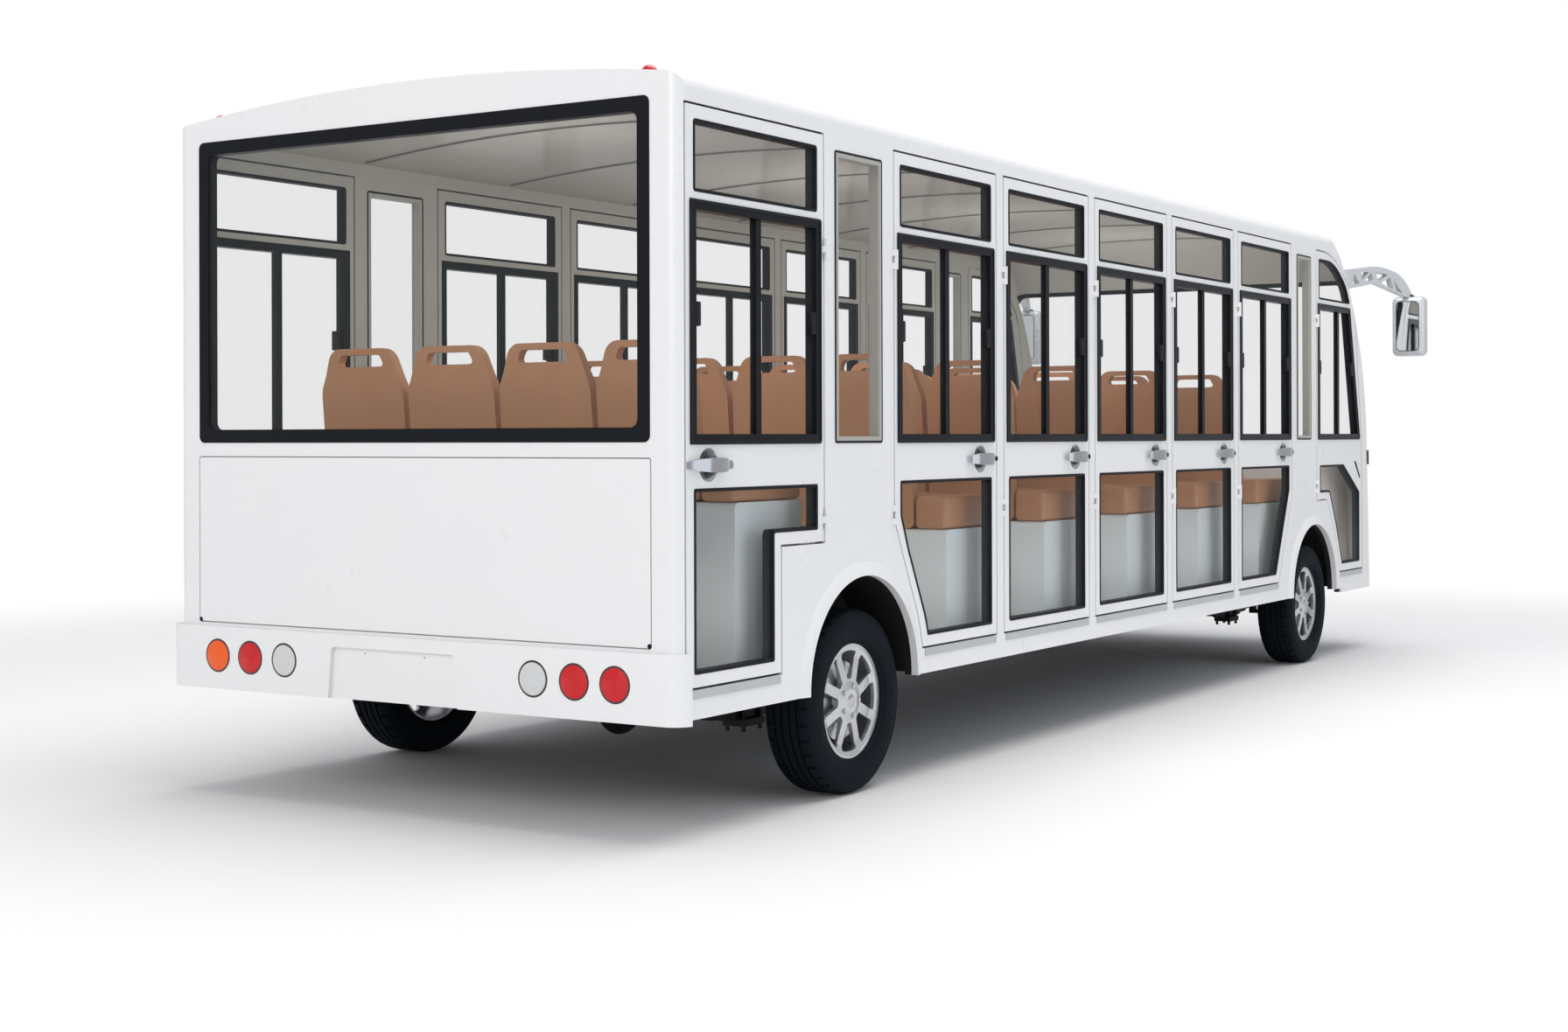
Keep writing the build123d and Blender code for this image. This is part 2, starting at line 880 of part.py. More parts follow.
# Fixed glass and its black frames
narrow_bar = 22
frame_reach = 2
with BuildPart() as narrow_frames:
    for span in (narrow_rear, narrow_front):
        with BuildSketch(side_plane(half_width + frame_reach)):
            add(grown(narrow_window(span), -seat_clearance))
            add(grown(narrow_window(span), -narrow_bar), mode=Mode.SUBTRACT)
        extrude(amount=-wall - frame_reach)
with BuildPart() as narrow_glass:
    for span in (narrow_rear, narrow_front):
        pane = grown(narrow_window(span), -narrow_bar - seat_clearance)
        add(slab(pane, half_width - glass_depth, pane_thick))
window_outer = centred_outline(window_half, window_foot, window_head, 22)
window_inner = centred_outline(
    window_half - window_bar, window_foot + window_bar, window_head - window_bar, 26
)
with BuildPart() as rear_frame:
    with BuildSketch(cross_plane(-frame_reach)):
        add(grown(window_outer, -seat_clearance))
        add(window_inner, mode=Mode.SUBTRACT)
    extrude(amount=wall + frame_reach)
rear_pane = across(grown(window_inner, -seat_clearance), glass_depth, pane_thick)
with BuildPart() as window_frames:
    add(both_sides(narrow_frames.part))
    add(rear_frame.part)
    add(screen_seal.part)
save("window_frames", window_frames.part)
with BuildPart() as fixed_glass:
    add(both_sides(narrow_glass.part))
    add(rear_pane)
    add(windscreen.part)
save("fixed_glass", fixed_glass.part)

# Door hinges on the body: leaf, two barrels and the pin through the door's barrel
barrel_slot = 0.5
with BuildPart() as hinges:
    for row in door_table:
        side = -1 if row[5] == "rear" else 1
        for level in hinge_levels:
            with Locations((-half_width - hinge_stand, rear_y - hinge_line(row), level)):
                Cylinder(pin_radius, 3 * knuckle_height)
            for foot in (knuckle_height / 2 + barrel_slot, -1.5 * knuckle_height):
                height = knuckle_height - barrel_slot
                add(hinge_knuckle(hinge_line(row), level + foot, height, hinge_leaf, side))
save("door_hinges", both_sides(hinges.part))

# Floor deck and wheel housings
deck_top = 465
deck_thick = 18
deck_half = half_width - wall - 1
deck_start = wall + 1
housing_wall = 6
tyre_clearance = 12
rear_housing = (rear_arch[0], arch_height, rear_arch[1] + 8, wheel_plane - tyre_width / 2 - tyre_clearance)
front_housing = (front_axle, arch_height, 398, 650)


def housing_drum(housing, grow):
    """Half drum over a wheel, grown by an amount, open downwards."""
    ahead, height, radius, inner = housing
    with BuildPart() as drum:
        with BuildSketch(side_plane(deck_half)):
            with Locations((ahead, height)):
                Circle(radius + grow)
            with Locations((ahead, height)):
                Rectangle(4 * radius, 4 * radius, align=(Align.CENTER, Align.MAX), mode=Mode.SUBTRACT)
        extrude(amount=-(deck_half - inner) - grow)
    return drum.part


with BuildPart() as housings:
    for housing in (rear_housing, front_housing):
        add(housing_drum(housing, housing_wall))
        add(housing_drum(housing, 0), mode=Mode.SUBTRACT)

with BuildPart() as deck:
    low = (deck_start, -half_width, deck_top - deck_thick)
    high = (nose_ahead, half_width, deck_top)
    add(box_between(low, high))
    add(body_form(wall + 1), mode=Mode.INTERSECT)
    for housing in (rear_housing, front_housing):
        add(both_sides(housing_drum(housing, 0)), mode=Mode.SUBTRACT)
    add(both_sides(housings.part))
save("floor_deck", deck.part)

# Chassis rails, cross members and spring hangers
rail_reach = 555
rail_width = 60
rail_foot = 365
rail_wall = 5
rail_ends = (90, 6500)
cross_members = [160, 1760, 2420, 4380, 5000, 6440]
deck_foot = deck_top - deck_thick
spring_reach = rail_reach
spring_width = 50
spring_span = 550
leaf_thick = 8
leaf_count = 5
leaf_lengths = [550, 440, 330, 230, 140]
eye_radius = 20
eye_bore = 8
eye_height = 305
with BuildPart() as chassis:
    for side in (-1, 1):
        low = (rail_ends[0], side * rail_reach - rail_width / 2, rail_foot)
        high = (rail_ends[1], side * rail_reach + rail_width / 2, deck_foot)
        add(box_between(low, high))
        span = (side * rail_reach - rail_width / 2, side * rail_reach + rail_width / 2)
        if side > 0:
            hollow = (span[0] - 1, span[1] - rail_wall)
        else:
            hollow = (span[0] + rail_wall, span[1] + 1)
        low = (rail_ends[0] - 1, hollow[0], rail_foot + rail_wall)
        high = (rail_ends[1] + 1, hollow[1], deck_foot - rail_wall)
        add(box_between(low, high), mode=Mode.SUBTRACT)
    for axle in (rear_axle, front_axle):
        for side in (-1, 1):
            for end in (-1, 1):
                for face in (-1, 1):
                    place = side * rail_reach + face * (spring_width / 2 + 4.3)
                    with BuildSketch(side_plane(-place + 4)):
                        with Locations((axle + end * spring_span, eye_height)):
                            Circle(eye_radius + 6)
                        low_edge = axle + end * spring_span
                        with BuildLine():
                            Polyline(
                                (low_edge - 26, eye_height),
                                (low_edge + 26, eye_height),
                                (low_edge + 50, rail_foot + 10),
                                (low_edge - 50, rail_foot + 10),
                                close=True,
                            )
                        make_face()
                    extrude(amount=-8)
                with BuildSketch(side_plane(-side * rail_reach + spring_width / 2 + 9)):
                    with Locations((axle + end * spring_span, eye_height)):
                        Circle(eye_bore)
                extrude(amount=-spring_width - 18)
    for ahead in cross_members:
        web = rail_reach + rail_width / 2 - rail_wall - seat_clearance
        low = (ahead - 30, -web, rail_foot + 12)
        high = (ahead + 30, web, deck_foot - rail_wall - 2)
        add(box_between(low, high))
save("chassis_frame", chassis.part)

# Leaf springs, each a stack under its axle, clamped by two straps and a plate
axle_height = tyre_radius
tube_radius = 42
stack_top = axle_height - tube_radius
strap_reach = 52
strap_radius = 7


def leaf_stack(axle):
    """Side outline of a stack of leaves hanging from two eyes and held at the axle."""
    rise = eye_height - eye_radius - (stack_top - leaf_thick)
    with BuildSketch() as stack:
        for number in range(leaf_count):
            reach = leaf_lengths[number]
            lift = (rise + leaf_thick) * (reach / spring_span) ** 2 if number else rise + leaf_thick
            top = stack_top - 0.5 - number * leaf_thick
            with BuildLine():
                ThreePointArc((axle - reach, top + lift), (axle, top), (axle + reach, top + lift))
                Line((axle + reach, top + lift), (axle + reach, top + lift - leaf_thick))
                ThreePointArc(
                    (axle + reach, top + lift - leaf_thick),
                    (axle, top - leaf_thick),
                    (axle - reach, top + lift - leaf_thick),
                )
                Line((axle - reach, top + lift - leaf_thick), (axle - reach, top + lift))
            make_face()
        for end in (-1, 1):
            with Locations((axle + end * spring_span, eye_height)):
                Circle(eye_radius)
                Circle(eye_bore + pin_clearance, mode=Mode.SUBTRACT)
    return stack.sketch


with BuildPart() as springs:
    for axle in (rear_axle, front_axle):
        add(slab(leaf_stack(axle), spring_reach + spring_width / 2, spring_width))

# Axles: tube or beam, spring clamps, drive unit on the rear axle
hub_reach = 46
stub_radius = 20
clamp_foot = stack_top - leaf_count * leaf_thick - 13
unit_radius = 178
unit_half = 130
unit_middle = -40
unit_top = deck_foot - 12
motor_radius = 112
motor_length = 380
flange_radius = 118
flange_reach = 12


def spring_clamp(axle, side, crest):
    """Plate under the leaves with two straps bent over the axle, whose top is at crest."""
    middle = side * spring_reach
    gap = spring_width / 2 + strap_radius + 0.5
    edge = gap + strap_radius + 4
    with BuildPart() as clamp:
        low = (axle - strap_reach - 14, middle - edge, clamp_foot - 12)
        high = (axle + strap_reach + 14, middle + edge, clamp_foot + 12)
        add(box_between(low, high))
        foot = clamp_foot - 30
        head = crest + 12
        for place in (middle - gap, middle + gap):
            for ahead in (axle - strap_reach, axle + strap_reach):
                with Locations((place, rear_y - ahead, (foot + head) / 2)):
                    Cylinder(strap_radius, head - foot)
            low = (axle - strap_reach, place - strap_radius, crest - 2)
            high = (axle + strap_reach, place + strap_radius, head)
            add(box_between(low, high))
    return clamp.part


with BuildPart() as rear_axle_tube:
    with Locations(Plane((0, rear_y - rear_axle, axle_height), z_dir=(1, 0, 0))):
        Cylinder(tube_radius, 2 * (wheel_plane - 110))
        Cylinder(stub_radius, 2 * (wheel_plane + hub_reach))
        Cylinder(flange_radius, 2 * (wheel_plane - 92))
        Cylinder(flange_radius + 1, 2 * (wheel_plane - 92 - flange_reach), mode=Mode.SUBTRACT)
        Cylinder(tube_radius, 2 * (wheel_plane - 92))
    with Locations(Plane((unit_middle, rear_y - rear_axle, axle_height), z_dir=(1, 0, 0))):
        Cone(unit_radius - 70, unit_radius, unit_half - 60, align=(Align.CENTER, Align.CENTER, Align.MAX))
        Cone(unit_radius, unit_radius - 90, unit_half, align=(Align.CENTER, Align.CENTER, Align.MIN))
    low = (rear_axle - 400, -300, unit_top)
    high = (rear_axle + 400, 300, unit_top + 400)
    add(box_between(low, high), mode=Mode.SUBTRACT)
    for side in (-1, 1):
        add(spring_clamp(rear_axle, side, axle_height + tube_radius))

with BuildPart() as motor:
    motor_start = rear_axle + unit_radius - 60
    middle = (unit_middle, rear_y - motor_start - motor_length / 2, axle_height)
    with Locations(Plane(middle, z_dir=(0, 1, 0))):
        Cylinder(motor_radius, motor_length)

battery_span = (2560, 4240)
battery_half = 490
battery_foot = 245
with BuildPart() as battery:
    low = (battery_span[0], -battery_half, battery_foot)
    high = (battery_span[1], battery_half, deck_foot)
    add(box_between(low, high))
save("battery_block", battery.part)

kingpin_radius = 9
boss_radius = 24
boss_half = 42
lug_thick = 16
lug_gap = 0.5
beam_half = 24
beam_top = axle_height + beam_half
with BuildPart() as front_beam:
    low = (front_axle - 34, -(kingpin_plane - 70), axle_height - beam_half)
    high = (front_axle + 34, kingpin_plane - 70, beam_top)
    add(box_between(low, high))
    for side in (-1, 1):
        low = (front_axle - 34, side * spring_reach - 36, stack_top)
        high = (front_axle + 34, side * spring_reach + 36, axle_height)
        add(box_between(low, high))
        pin = (side * kingpin_plane, rear_y - front_axle, axle_height)
        for level in (-1, 1):
            middle = axle_height + level * (boss_half + lug_gap + lug_thick / 2)
            with BuildSketch(level_plane(middle - lug_thick / 2)):
                with BuildLine():
                    near = side * (kingpin_plane - 78)
                    far = side * kingpin_plane
                    Polyline(
                        (front_axle - 30, near),
                        (front_axle + 30, near),
                        (front_axle + 20, far),
                        (front_axle - 20, far),
                        close=True,
                    )
                make_face()
                with Locations((front_axle, far)):
                    Circle(20)
            extrude(amount=lug_thick)
        outer_face = side * (kingpin_plane - 70)
        inner_face = side * (kingpin_plane - 92)
        reach = boss_half + lug_gap + lug_thick
        low = (front_axle - 30, min(outer_face, inner_face), axle_height - reach)
        high = (front_axle + 30, max(outer_face, inner_face), axle_height + reach)
        add(box_between(low, high))
        with Locations(pin):
            Cylinder(kingpin_radius, 2 * (boss_half + lug_gap + lug_thick))
        add(spring_clamp(front_axle, side, beam_top))
with BuildPart() as running_gear:
    add(springs.part)
    mirror(about=Plane.YZ)
    add(rear_axle_tube.part)
    add(motor.part)
    add(front_beam.part)
save("axles_and_springs", running_gear.part)

arm_reach = 140
arm_inset = 22
rod_radius = 11
arm_thick = 14
with BuildPart() as knuckle:
    with Locations((-kingpin_plane, rear_y - front_axle, axle_height)):
        Cylinder(boss_radius, 2 * boss_half)
    stub_end = wheel_plane + hub_reach
    with BuildSketch(side_plane(stub_end)):
        with Locations((front_axle, axle_height)):
            Circle(stub_radius)
    extrude(amount=-(stub_end - kingpin_plane))
    with BuildSketch(side_plane(wheel_plane - 80)):
        with Locations((front_axle, axle_height)):
            Circle(flange_radius)
    extrude(amount=-flange_reach)
    with BuildSketch(side_plane(kingpin_plane + 40)):
        with Locations((front_axle, axle_height)):
            Circle(34)
    extrude(amount=-40)
    with BuildSketch(level_plane(axle_height + boss_half - arm_thick)) as arm:
        with BuildLine():
            Polyline(
                (front_axle, -kingpin_plane - 14),
                (front_axle, -kingpin_plane + 14),
                (front_axle - arm_reach, -kingpin_plane + arm_inset + 11),
                (front_axle - arm_reach, -kingpin_plane + arm_inset - 11),
                close=True,
            )
        make_face()
        with Locations((front_axle - arm_reach, -kingpin_plane + arm_inset)):
            Circle(18)
    extrude(amount=arm_thick)
    with Locations((-kingpin_plane, rear_y - front_axle, axle_height)):
        Cylinder(kingpin_radius + pin_clearance, 2 * boss_half + 2, mode=Mode.SUBTRACT)
save("knuckle_right", knuckle.part)
save("knuckle_left", mirrored(knuckle.part))

rod_drop = 16
rod_end_radius = 17
with BuildPart() as tie_rod:
    rod_ahead = front_axle - arm_reach
    rod_end = kingpin_plane - arm_inset
    rod_level = axle_height + boss_half - arm_thick - rod_drop
    with Locations(Plane((0, rear_y - rod_ahead, rod_level), z_dir=(1, 0, 0))):
        Cylinder(rod_radius, 2 * rod_end)
    for side in (-1, 1):
        with Locations((side * rod_end, rear_y - rod_ahead, rod_level - rod_radius)):
            height = rod_radius + rod_drop - lug_gap
            Cylinder(rod_end_radius, height, align=(Align.CENTER, Align.CENTER, Align.MIN))
save("tie_rod", tie_rod.part)

# Wheels: tyre, and alloy rim with eight windows between its spokes
bead_radius = 190
bead_half = 70
tread_half = 76
widest_radius = 246
barrel_wall = 8
spoke_count = 8
spoke_face = 62
spoke_thick = 20
window_inner_radius = 74
window_outer_radius = 168
spoke_width = 34
hub_bore = stub_radius + pin_clearance
drum_radius = 132


def wheel_profile(axle):
    """Tyre and rim about the hub line of the right-hand wheel on an axle."""
    hub_line = Axis((0, rear_y - axle, axle_height), (1, 0, 0))
    plane = Plane(origin=(-wheel_plane, rear_y - axle, axle_height), x_dir=(-1, 0, 0), z_dir=(0, 1, 0))
    with BuildPart() as tyre:
        with BuildSketch(plane):
            with BuildLine():
                Polyline(
                    (-bead_half, bead_radius),
                    (bead_half, bead_radius),
                    (bead_half + 14, bead_radius + 18),
                    (tyre_width / 2, widest_radius),
                    (tread_half + 6, tyre_radius - 17),
                    (tread_half - 18, tyre_radius),
                    (18 - tread_half, tyre_radius),
                    (-tread_half - 6, tyre_radius - 17),
                    (-tyre_width / 2, widest_radius),
                    (-bead_half - 14, bead_radius + 18),
                    close=True,
                )
            make_face()
        revolve(axis=hub_line)
    with BuildPart() as rim:
        with BuildSketch(plane):
            with BuildLine():
                Polyline(
                    (-bead_half - 4, bead_radius - seat_clearance),
                    (bead_half - 2, bead_radius - seat_clearance),
                    (bead_half - 2, bead_radius - barrel_wall),
                    (-bead_half - 4, bead_radius - barrel_wall),
                    close=True,
                )
            make_face()
            with BuildLine():
                Polyline(
                    (spoke_face - spoke_thick, 0),
                    (spoke_face - spoke_thick, 60),
                    (spoke_face - 14, bead_radius - 2),
                    (spoke_face + 4, bead_radius - 2),
                    (spoke_face - 6, 150),
                    (spoke_face, 66),
                    (spoke_face + 6, 40),
                    (spoke_face + 6, 0),
                    close=True,
                )
            make_face()
            with BuildLine():
                Polyline(
                    (-60, 0),
                    (-60, drum_radius),
                    (26, drum_radius),
                    (26, drum_radius - 12),
                    (30, 60),
                    (spoke_face - spoke_thick + 2, 50),
                    (spoke_face - spoke_thick + 2, 0),
                    close=True,
                )
            make_face()
        revolve(axis=hub_line)
        with BuildSketch(side_plane(wheel_plane + 120)):
            with Locations((axle, axle_height)):
                with PolarLocations(0, spoke_count):
                    add(spoke_window.sketch)
        extrude(amount=-120 + 29, mode=Mode.SUBTRACT)
        with Locations(Plane((-wheel_plane, rear_y - axle, axle_height), z_dir=(1, 0, 0))):
            Cylinder(hub_bore, 400, mode=Mode.SUBTRACT)
    return tyre.part, rim.part


half_pitch = radians(180 / spoke_count)
window_side = spoke_width / 2


def window_corner(radius):
    """Corner of a spoke window where the side of the spoke meets a radius from the hub."""
    along = (radius**2 - window_side**2) ** 0.5
    return (
        along * cos(half_pitch) + window_side * sin(half_pitch),
        -along * sin(half_pitch) + window_side * cos(half_pitch),
    )


inner_corner = window_corner(window_inner_radius)
outer_corner = window_corner(window_outer_radius)
with BuildSketch() as spoke_window:
    with BuildLine():
        Line(inner_corner, outer_corner)
        ThreePointArc(outer_corner, (window_outer_radius, 0), (outer_corner[0], -outer_corner[1]))
        Line((outer_corner[0], -outer_corner[1]), (inner_corner[0], -inner_corner[1]))
        Line((inner_corner[0], -inner_corner[1]), inner_corner)
    make_face()
    fillet(spoke_window.vertices(), radius=7)

for name, axle in (("rear", rear_axle), ("front", front_axle)):
    tyre, rim = wheel_profile(axle)
    save(f"tyre_{name}_right", tyre)
    save(f"rim_{name}_right", rim)
    save(f"tyre_{name}_left", mirrored(tyre))
    save(f"rim_{name}_left", mirrored(rim))

# Seats: moulded bases, cushions and backs
seat_width = 384
base_head = 844
base_half = 930
cushion_thick = 134
back_head = 1495
shoulder_height = 1340
shoulder_draw = 58
slot_half = 112
slot_draw = 22
slot_foot = 1430
slot_head = 1473
row_pitch = door_pitch
# Columns: rear face of the base ahead, height its base is raised, seat middles to the left
seat_rows = [(448, 138, (-600, -200, 200, 600))]
for number in range(4):
    seat_rows.append((1850 + number * row_pitch, 0, (-600, -200, 200, 600)))
driver_row = 1850 + 4 * row_pitch
seat_rows.append((driver_row, 0, (-600, -200, 560)))

with BuildPart() as bases:
    for start, lift, middles in seat_rows:
        base_outline = outline(
            [
                (start, deck_top + seat_clearance),
                (start + 330, deck_top + seat_clearance),
                (start + 395, base_head + lift - 30),
                (start + 395, base_head + lift),
                (start, base_head + lift),
            ],
            [0, 0, 20, 12, 20],
        )
        add(slab(base_outline, base_half, 2 * base_half))
    for housing in (rear_housing, front_housing):
        drum = housing_drum(housing, housing_wall + seat_clearance)
        add(both_sides(drum), mode=Mode.SUBTRACT)
save("seat_bases", bases.part)

with BuildPart() as cushions:
    for start, lift, middles in seat_rows:
        foot = base_head + lift + seat_clearance
        for middle in middles:
            low = (start + 60, middle - seat_width / 2, foot)
            high = (start + 450, middle + seat_width / 2, foot + cushion_thick)
            add(box_between(low, high))

with BuildPart() as backs:
    for start, lift, middles in seat_rows:
        foot = base_head + lift + seat_clearance
        back_outline = outline(
            [
                (start + 10, foot),
                (start + 58, foot),
                (start + 58, foot + 150),
                (start + 22, back_head),
                (start - 52, back_head),
            ],
            [0, 0, 60, 24, 34],
        )
        for middle in middles:
            shoulder = seat_width / 2
            back_front = outline(
                [
                    (middle - shoulder, foot),
                    (middle + shoulder, foot),
                    (middle + shoulder - 4, shoulder_height),
                    (middle + shoulder - shoulder_draw, back_head),
                    (middle - shoulder + shoulder_draw, back_head),
                    (middle - shoulder + 4, shoulder_height),
                ],
                [30, 30, 120, 44, 44, 120],
            )
            grab_slot = outline(
                [
                    (middle - slot_half, slot_foot),
                    (middle + slot_half, slot_foot),
                    (middle + slot_half - slot_draw, slot_head),
                    (middle - slot_half + slot_draw, slot_head),
                ],
                12,
            )
            with BuildPart() as back:
                with BuildSketch(side_plane(shoulder - middle)):
                    add(back_outline)
                extrude(amount=-seat_width)
                with BuildSketch(cross_plane(start - row_pitch / 2)):
                    add(back_front)
                    add(grab_slot, mode=Mode.SUBTRACT)
                extrude(amount=row_pitch, mode=Mode.INTERSECT)
            add(back.part)
    add(cushions.part)
save("seats", backs.part)

# Dashboard, steering column and steering wheel
dash_outline = outline(
    [(6300, 820), (6400, 640), (6900, 560), (6900, 1110), (6420, 1085), (6290, 980)],
    [30, 40, 0, 0, 60, 50],
)
dash_half = 900
driver_side = 560
column_tilt = 38
wheel_centre = (5985, driver_side, 1170)
grip_radius = 205
grip_thick = 14
with BuildPart() as dash:
    add(slab(dash_outline, dash_half, 2 * dash_half))
    low = (6640, -dash_half, deck_top + seat_clearance)
    high = (nose_ahead, dash_half, 700)
    add(box_between(low, high))
    add(body_form(wall + 1), mode=Mode.INTERSECT)

wheel_hub = Plane(
    origin=(wheel_centre[1], rear_y - wheel_centre[0], wheel_centre[2]),
    x_dir=(1, 0, 0),
    z_dir=(0, cos(radians(column_tilt)), sin(radians(column_tilt))),
)
column_length = (6420 - wheel_centre[0]) / cos(radians(column_tilt))
with BuildPart() as column:
    with Locations(wheel_hub.offset(-30)):
        Cylinder(26, column_length - 90, align=(Align.CENTER, Align.CENTER, Align.MAX))
    with Locations(wheel_hub):
        Cylinder(8, 2 * 30)
    add(dash.part)
save("dashboard", column.part)

with BuildPart() as steering_wheel:
    with Locations(wheel_hub):
        Torus(grip_radius, grip_thick)
        Cylinder(44, 36)
        with PolarLocations(grip_radius / 2, 3, start_angle=90):
            Box(grip_radius, 34, 12)
        Cylinder(8 + pin_clearance, 200, mode=Mode.SUBTRACT)
save("steering_wheel", steering_wheel.part)

# Mirrors on openwork arms
arm_root = (6395, 985)
head_place = (mirror_ahead, 1190)
arm_run = hypot(head_place[0] - arm_root[0], head_place[1] - arm_root[1])
arm_direction = Vector(-(head_place[1] - arm_root[1]), -(head_place[0] - arm_root[0]), 0)
arm_plane = Plane(
    origin=(-arm_root[1], rear_y - arm_root[0], 0),
    x_dir=arm_direction,
    z_dir=arm_direction.cross(Vector(0, 0, 1)),
)
bracket_thick = 34
head_size = (mirror_depth, 184, 337)
head_middle = 1802
with BuildPart() as mirror_relief:
    add(body_form(-seal_reach - seat_clearance))
    add(screen_block(seal_width + 1), mode=Mode.INTERSECT)
with BuildPart() as mirrors:
    with BuildSketch(arm_plane):
        with BuildLine():
            Line((-40, 1975), (-40, 2080))
            Line((-40, 2080), (60, 2098))
            ThreePointArc((60, 2098), (420, 2105), (arm_run + 24, 1962))
            Line((arm_run + 24, 1962), (arm_run - 40, 1962))
            Line((arm_run - 40, 1962), (300, 2030))
            Line((300, 2030), (-40, 1975))
        make_face()
        for hole in (
            [(70, 2010), (150, 2026), (90, 2078)],
            [(170, 2030), (120, 2084), (240, 2090)],
            [(190, 2034), (280, 2048), (262, 2088)],
            [(330, 2040), (300, 2092), (420, 2084)],
            [(350, 2034), (470, 2004), (440, 2072)],
            [(500, 1998), (560, 1984), (470, 2060)],
        ):
            with BuildLine():
                FilletPolyline(*hole, radius=4, close=True)
            make_face(mode=Mode.SUBTRACT)
    extrude(amount=bracket_thick / 2, both=True)
    with Locations((-head_place[1], rear_y - mirror_ahead, head_middle)):
        Box(head_size[1], head_size[0], head_size[2])
    fillet(mirrors.edges().filter_by(Axis.Z).filter_by(lambda edge: edge.length > 300), radius=36)
    add(body_form(-seat_clearance), mode=Mode.SUBTRACT)
    add(mirror_relief.part, mode=Mode.SUBTRACT)
save("mirrors", both_sides(mirrors.part))

# Front lamps: round head lamps and a wrap-round lamp at each corner
head_lamp_place = (730, 700)
head_lamp_radius = 84
corner_lamp = (1024, 1102)
with BuildPart() as head_lamps:
    with BuildSketch(cross_plane(front_axle)):
        with Locations((-head_lamp_place[0], head_lamp_place[1])):
            Circle(head_lamp_radius)
    extrude(amount=front_axle)
    add(body_skin(-10, -seat_clearance), mode=Mode.INTERSECT)
with BuildPart() as corner_lamps:
    low = (6625, -half_width - 40, corner_lamp[0])
    high = (7000, -half_width + 190, corner_lamp[1])
    add(box_between(low, high))
    fillet(corner_lamps.edges().filter_by(Axis.Y), radius=30)
    add(body_skin(-12, -seat_clearance), mode=Mode.INTERSECT)
with BuildPart() as front_lamps:
    add(head_lamps.part)
    add(corner_lamps.part)
with BuildPart() as lamps:
    add(both_sides(front_lamps.part))
    add(rear_lamps.part)
    add(markers.part)
save("lamps", lamps.part)
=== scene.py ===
"""Looks of the enclosed electric sightseeing bus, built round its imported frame.

Lengths are in metres. Along the bus they are measured forward from its rear face, as in the
part's source, and place() turns them into the frame: X to the left-hand side, Z up.
"""

import math

import bmesh
import bpy
from mathutils import Matrix, Vector


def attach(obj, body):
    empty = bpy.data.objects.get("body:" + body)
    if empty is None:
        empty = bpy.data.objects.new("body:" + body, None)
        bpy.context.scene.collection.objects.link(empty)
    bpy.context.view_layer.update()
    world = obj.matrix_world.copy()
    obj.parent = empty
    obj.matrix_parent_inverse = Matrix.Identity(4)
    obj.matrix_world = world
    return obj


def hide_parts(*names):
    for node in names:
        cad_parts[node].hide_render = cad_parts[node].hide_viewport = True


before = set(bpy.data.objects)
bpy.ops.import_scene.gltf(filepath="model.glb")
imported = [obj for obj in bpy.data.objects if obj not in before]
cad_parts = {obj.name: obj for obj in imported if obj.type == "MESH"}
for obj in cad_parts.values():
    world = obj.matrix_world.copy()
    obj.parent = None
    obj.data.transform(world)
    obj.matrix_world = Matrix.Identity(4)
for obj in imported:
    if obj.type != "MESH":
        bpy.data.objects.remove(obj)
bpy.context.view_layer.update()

# Sizes that the pieces share with the frame. SASH_END is the foot of the front doors' sash edge.
REAR_FACE = 3.5185
HALF_WIDTH = 1.035
WHEEL_PLANE = 0.9125
HUB_HEIGHT = 0.3075
CROWN = 2.305
ROOF_RADIUS = 8.27
SILL = 0.449
PLATE_HOLES = ((-0.074, 0.500), (0.174, 0.500))
NARROW_WINDOWS = ((0.878, 1.190), (5.496, 5.723))
ARCHES = ((1.057, 0.372), (5.752, 0.372))
REAR_AXLE = 1.070
FRONT_AXLE = 5.776
HANDLE_HEIGHT = 1.103
STILE = 0.038
SASH_MARGIN = 0.019
SASH_FOOT = 1.164
SASH_HEAD = 1.878
PANE_FOOT = 0.493
PANE_HEAD = 1.035
TRANSOM_FOOT = 1.900
WINDOW_HEAD = 2.113
FRONT_DOOR_END = 6.580
SASH_END = 6.561
DOOR_PITCH = 0.841
# How far an inner side lies behind the outer face of the shell, for the colour masks
SKIN_DEPTH = 0.012
NARROW_EDGE = 0.008
PLATE_HOLE_RADIUS = 0.0046
ARCH_LINING_RADIUS = 0.400
HOUSING_REACH = 0.52
SIDES = {"right": -1, "left": 1}


def place(ahead, left, up):
    """A point given ahead of the rear face, to the left-hand side and up."""
    return Vector((left, REAR_FACE - ahead, up))


# Material building


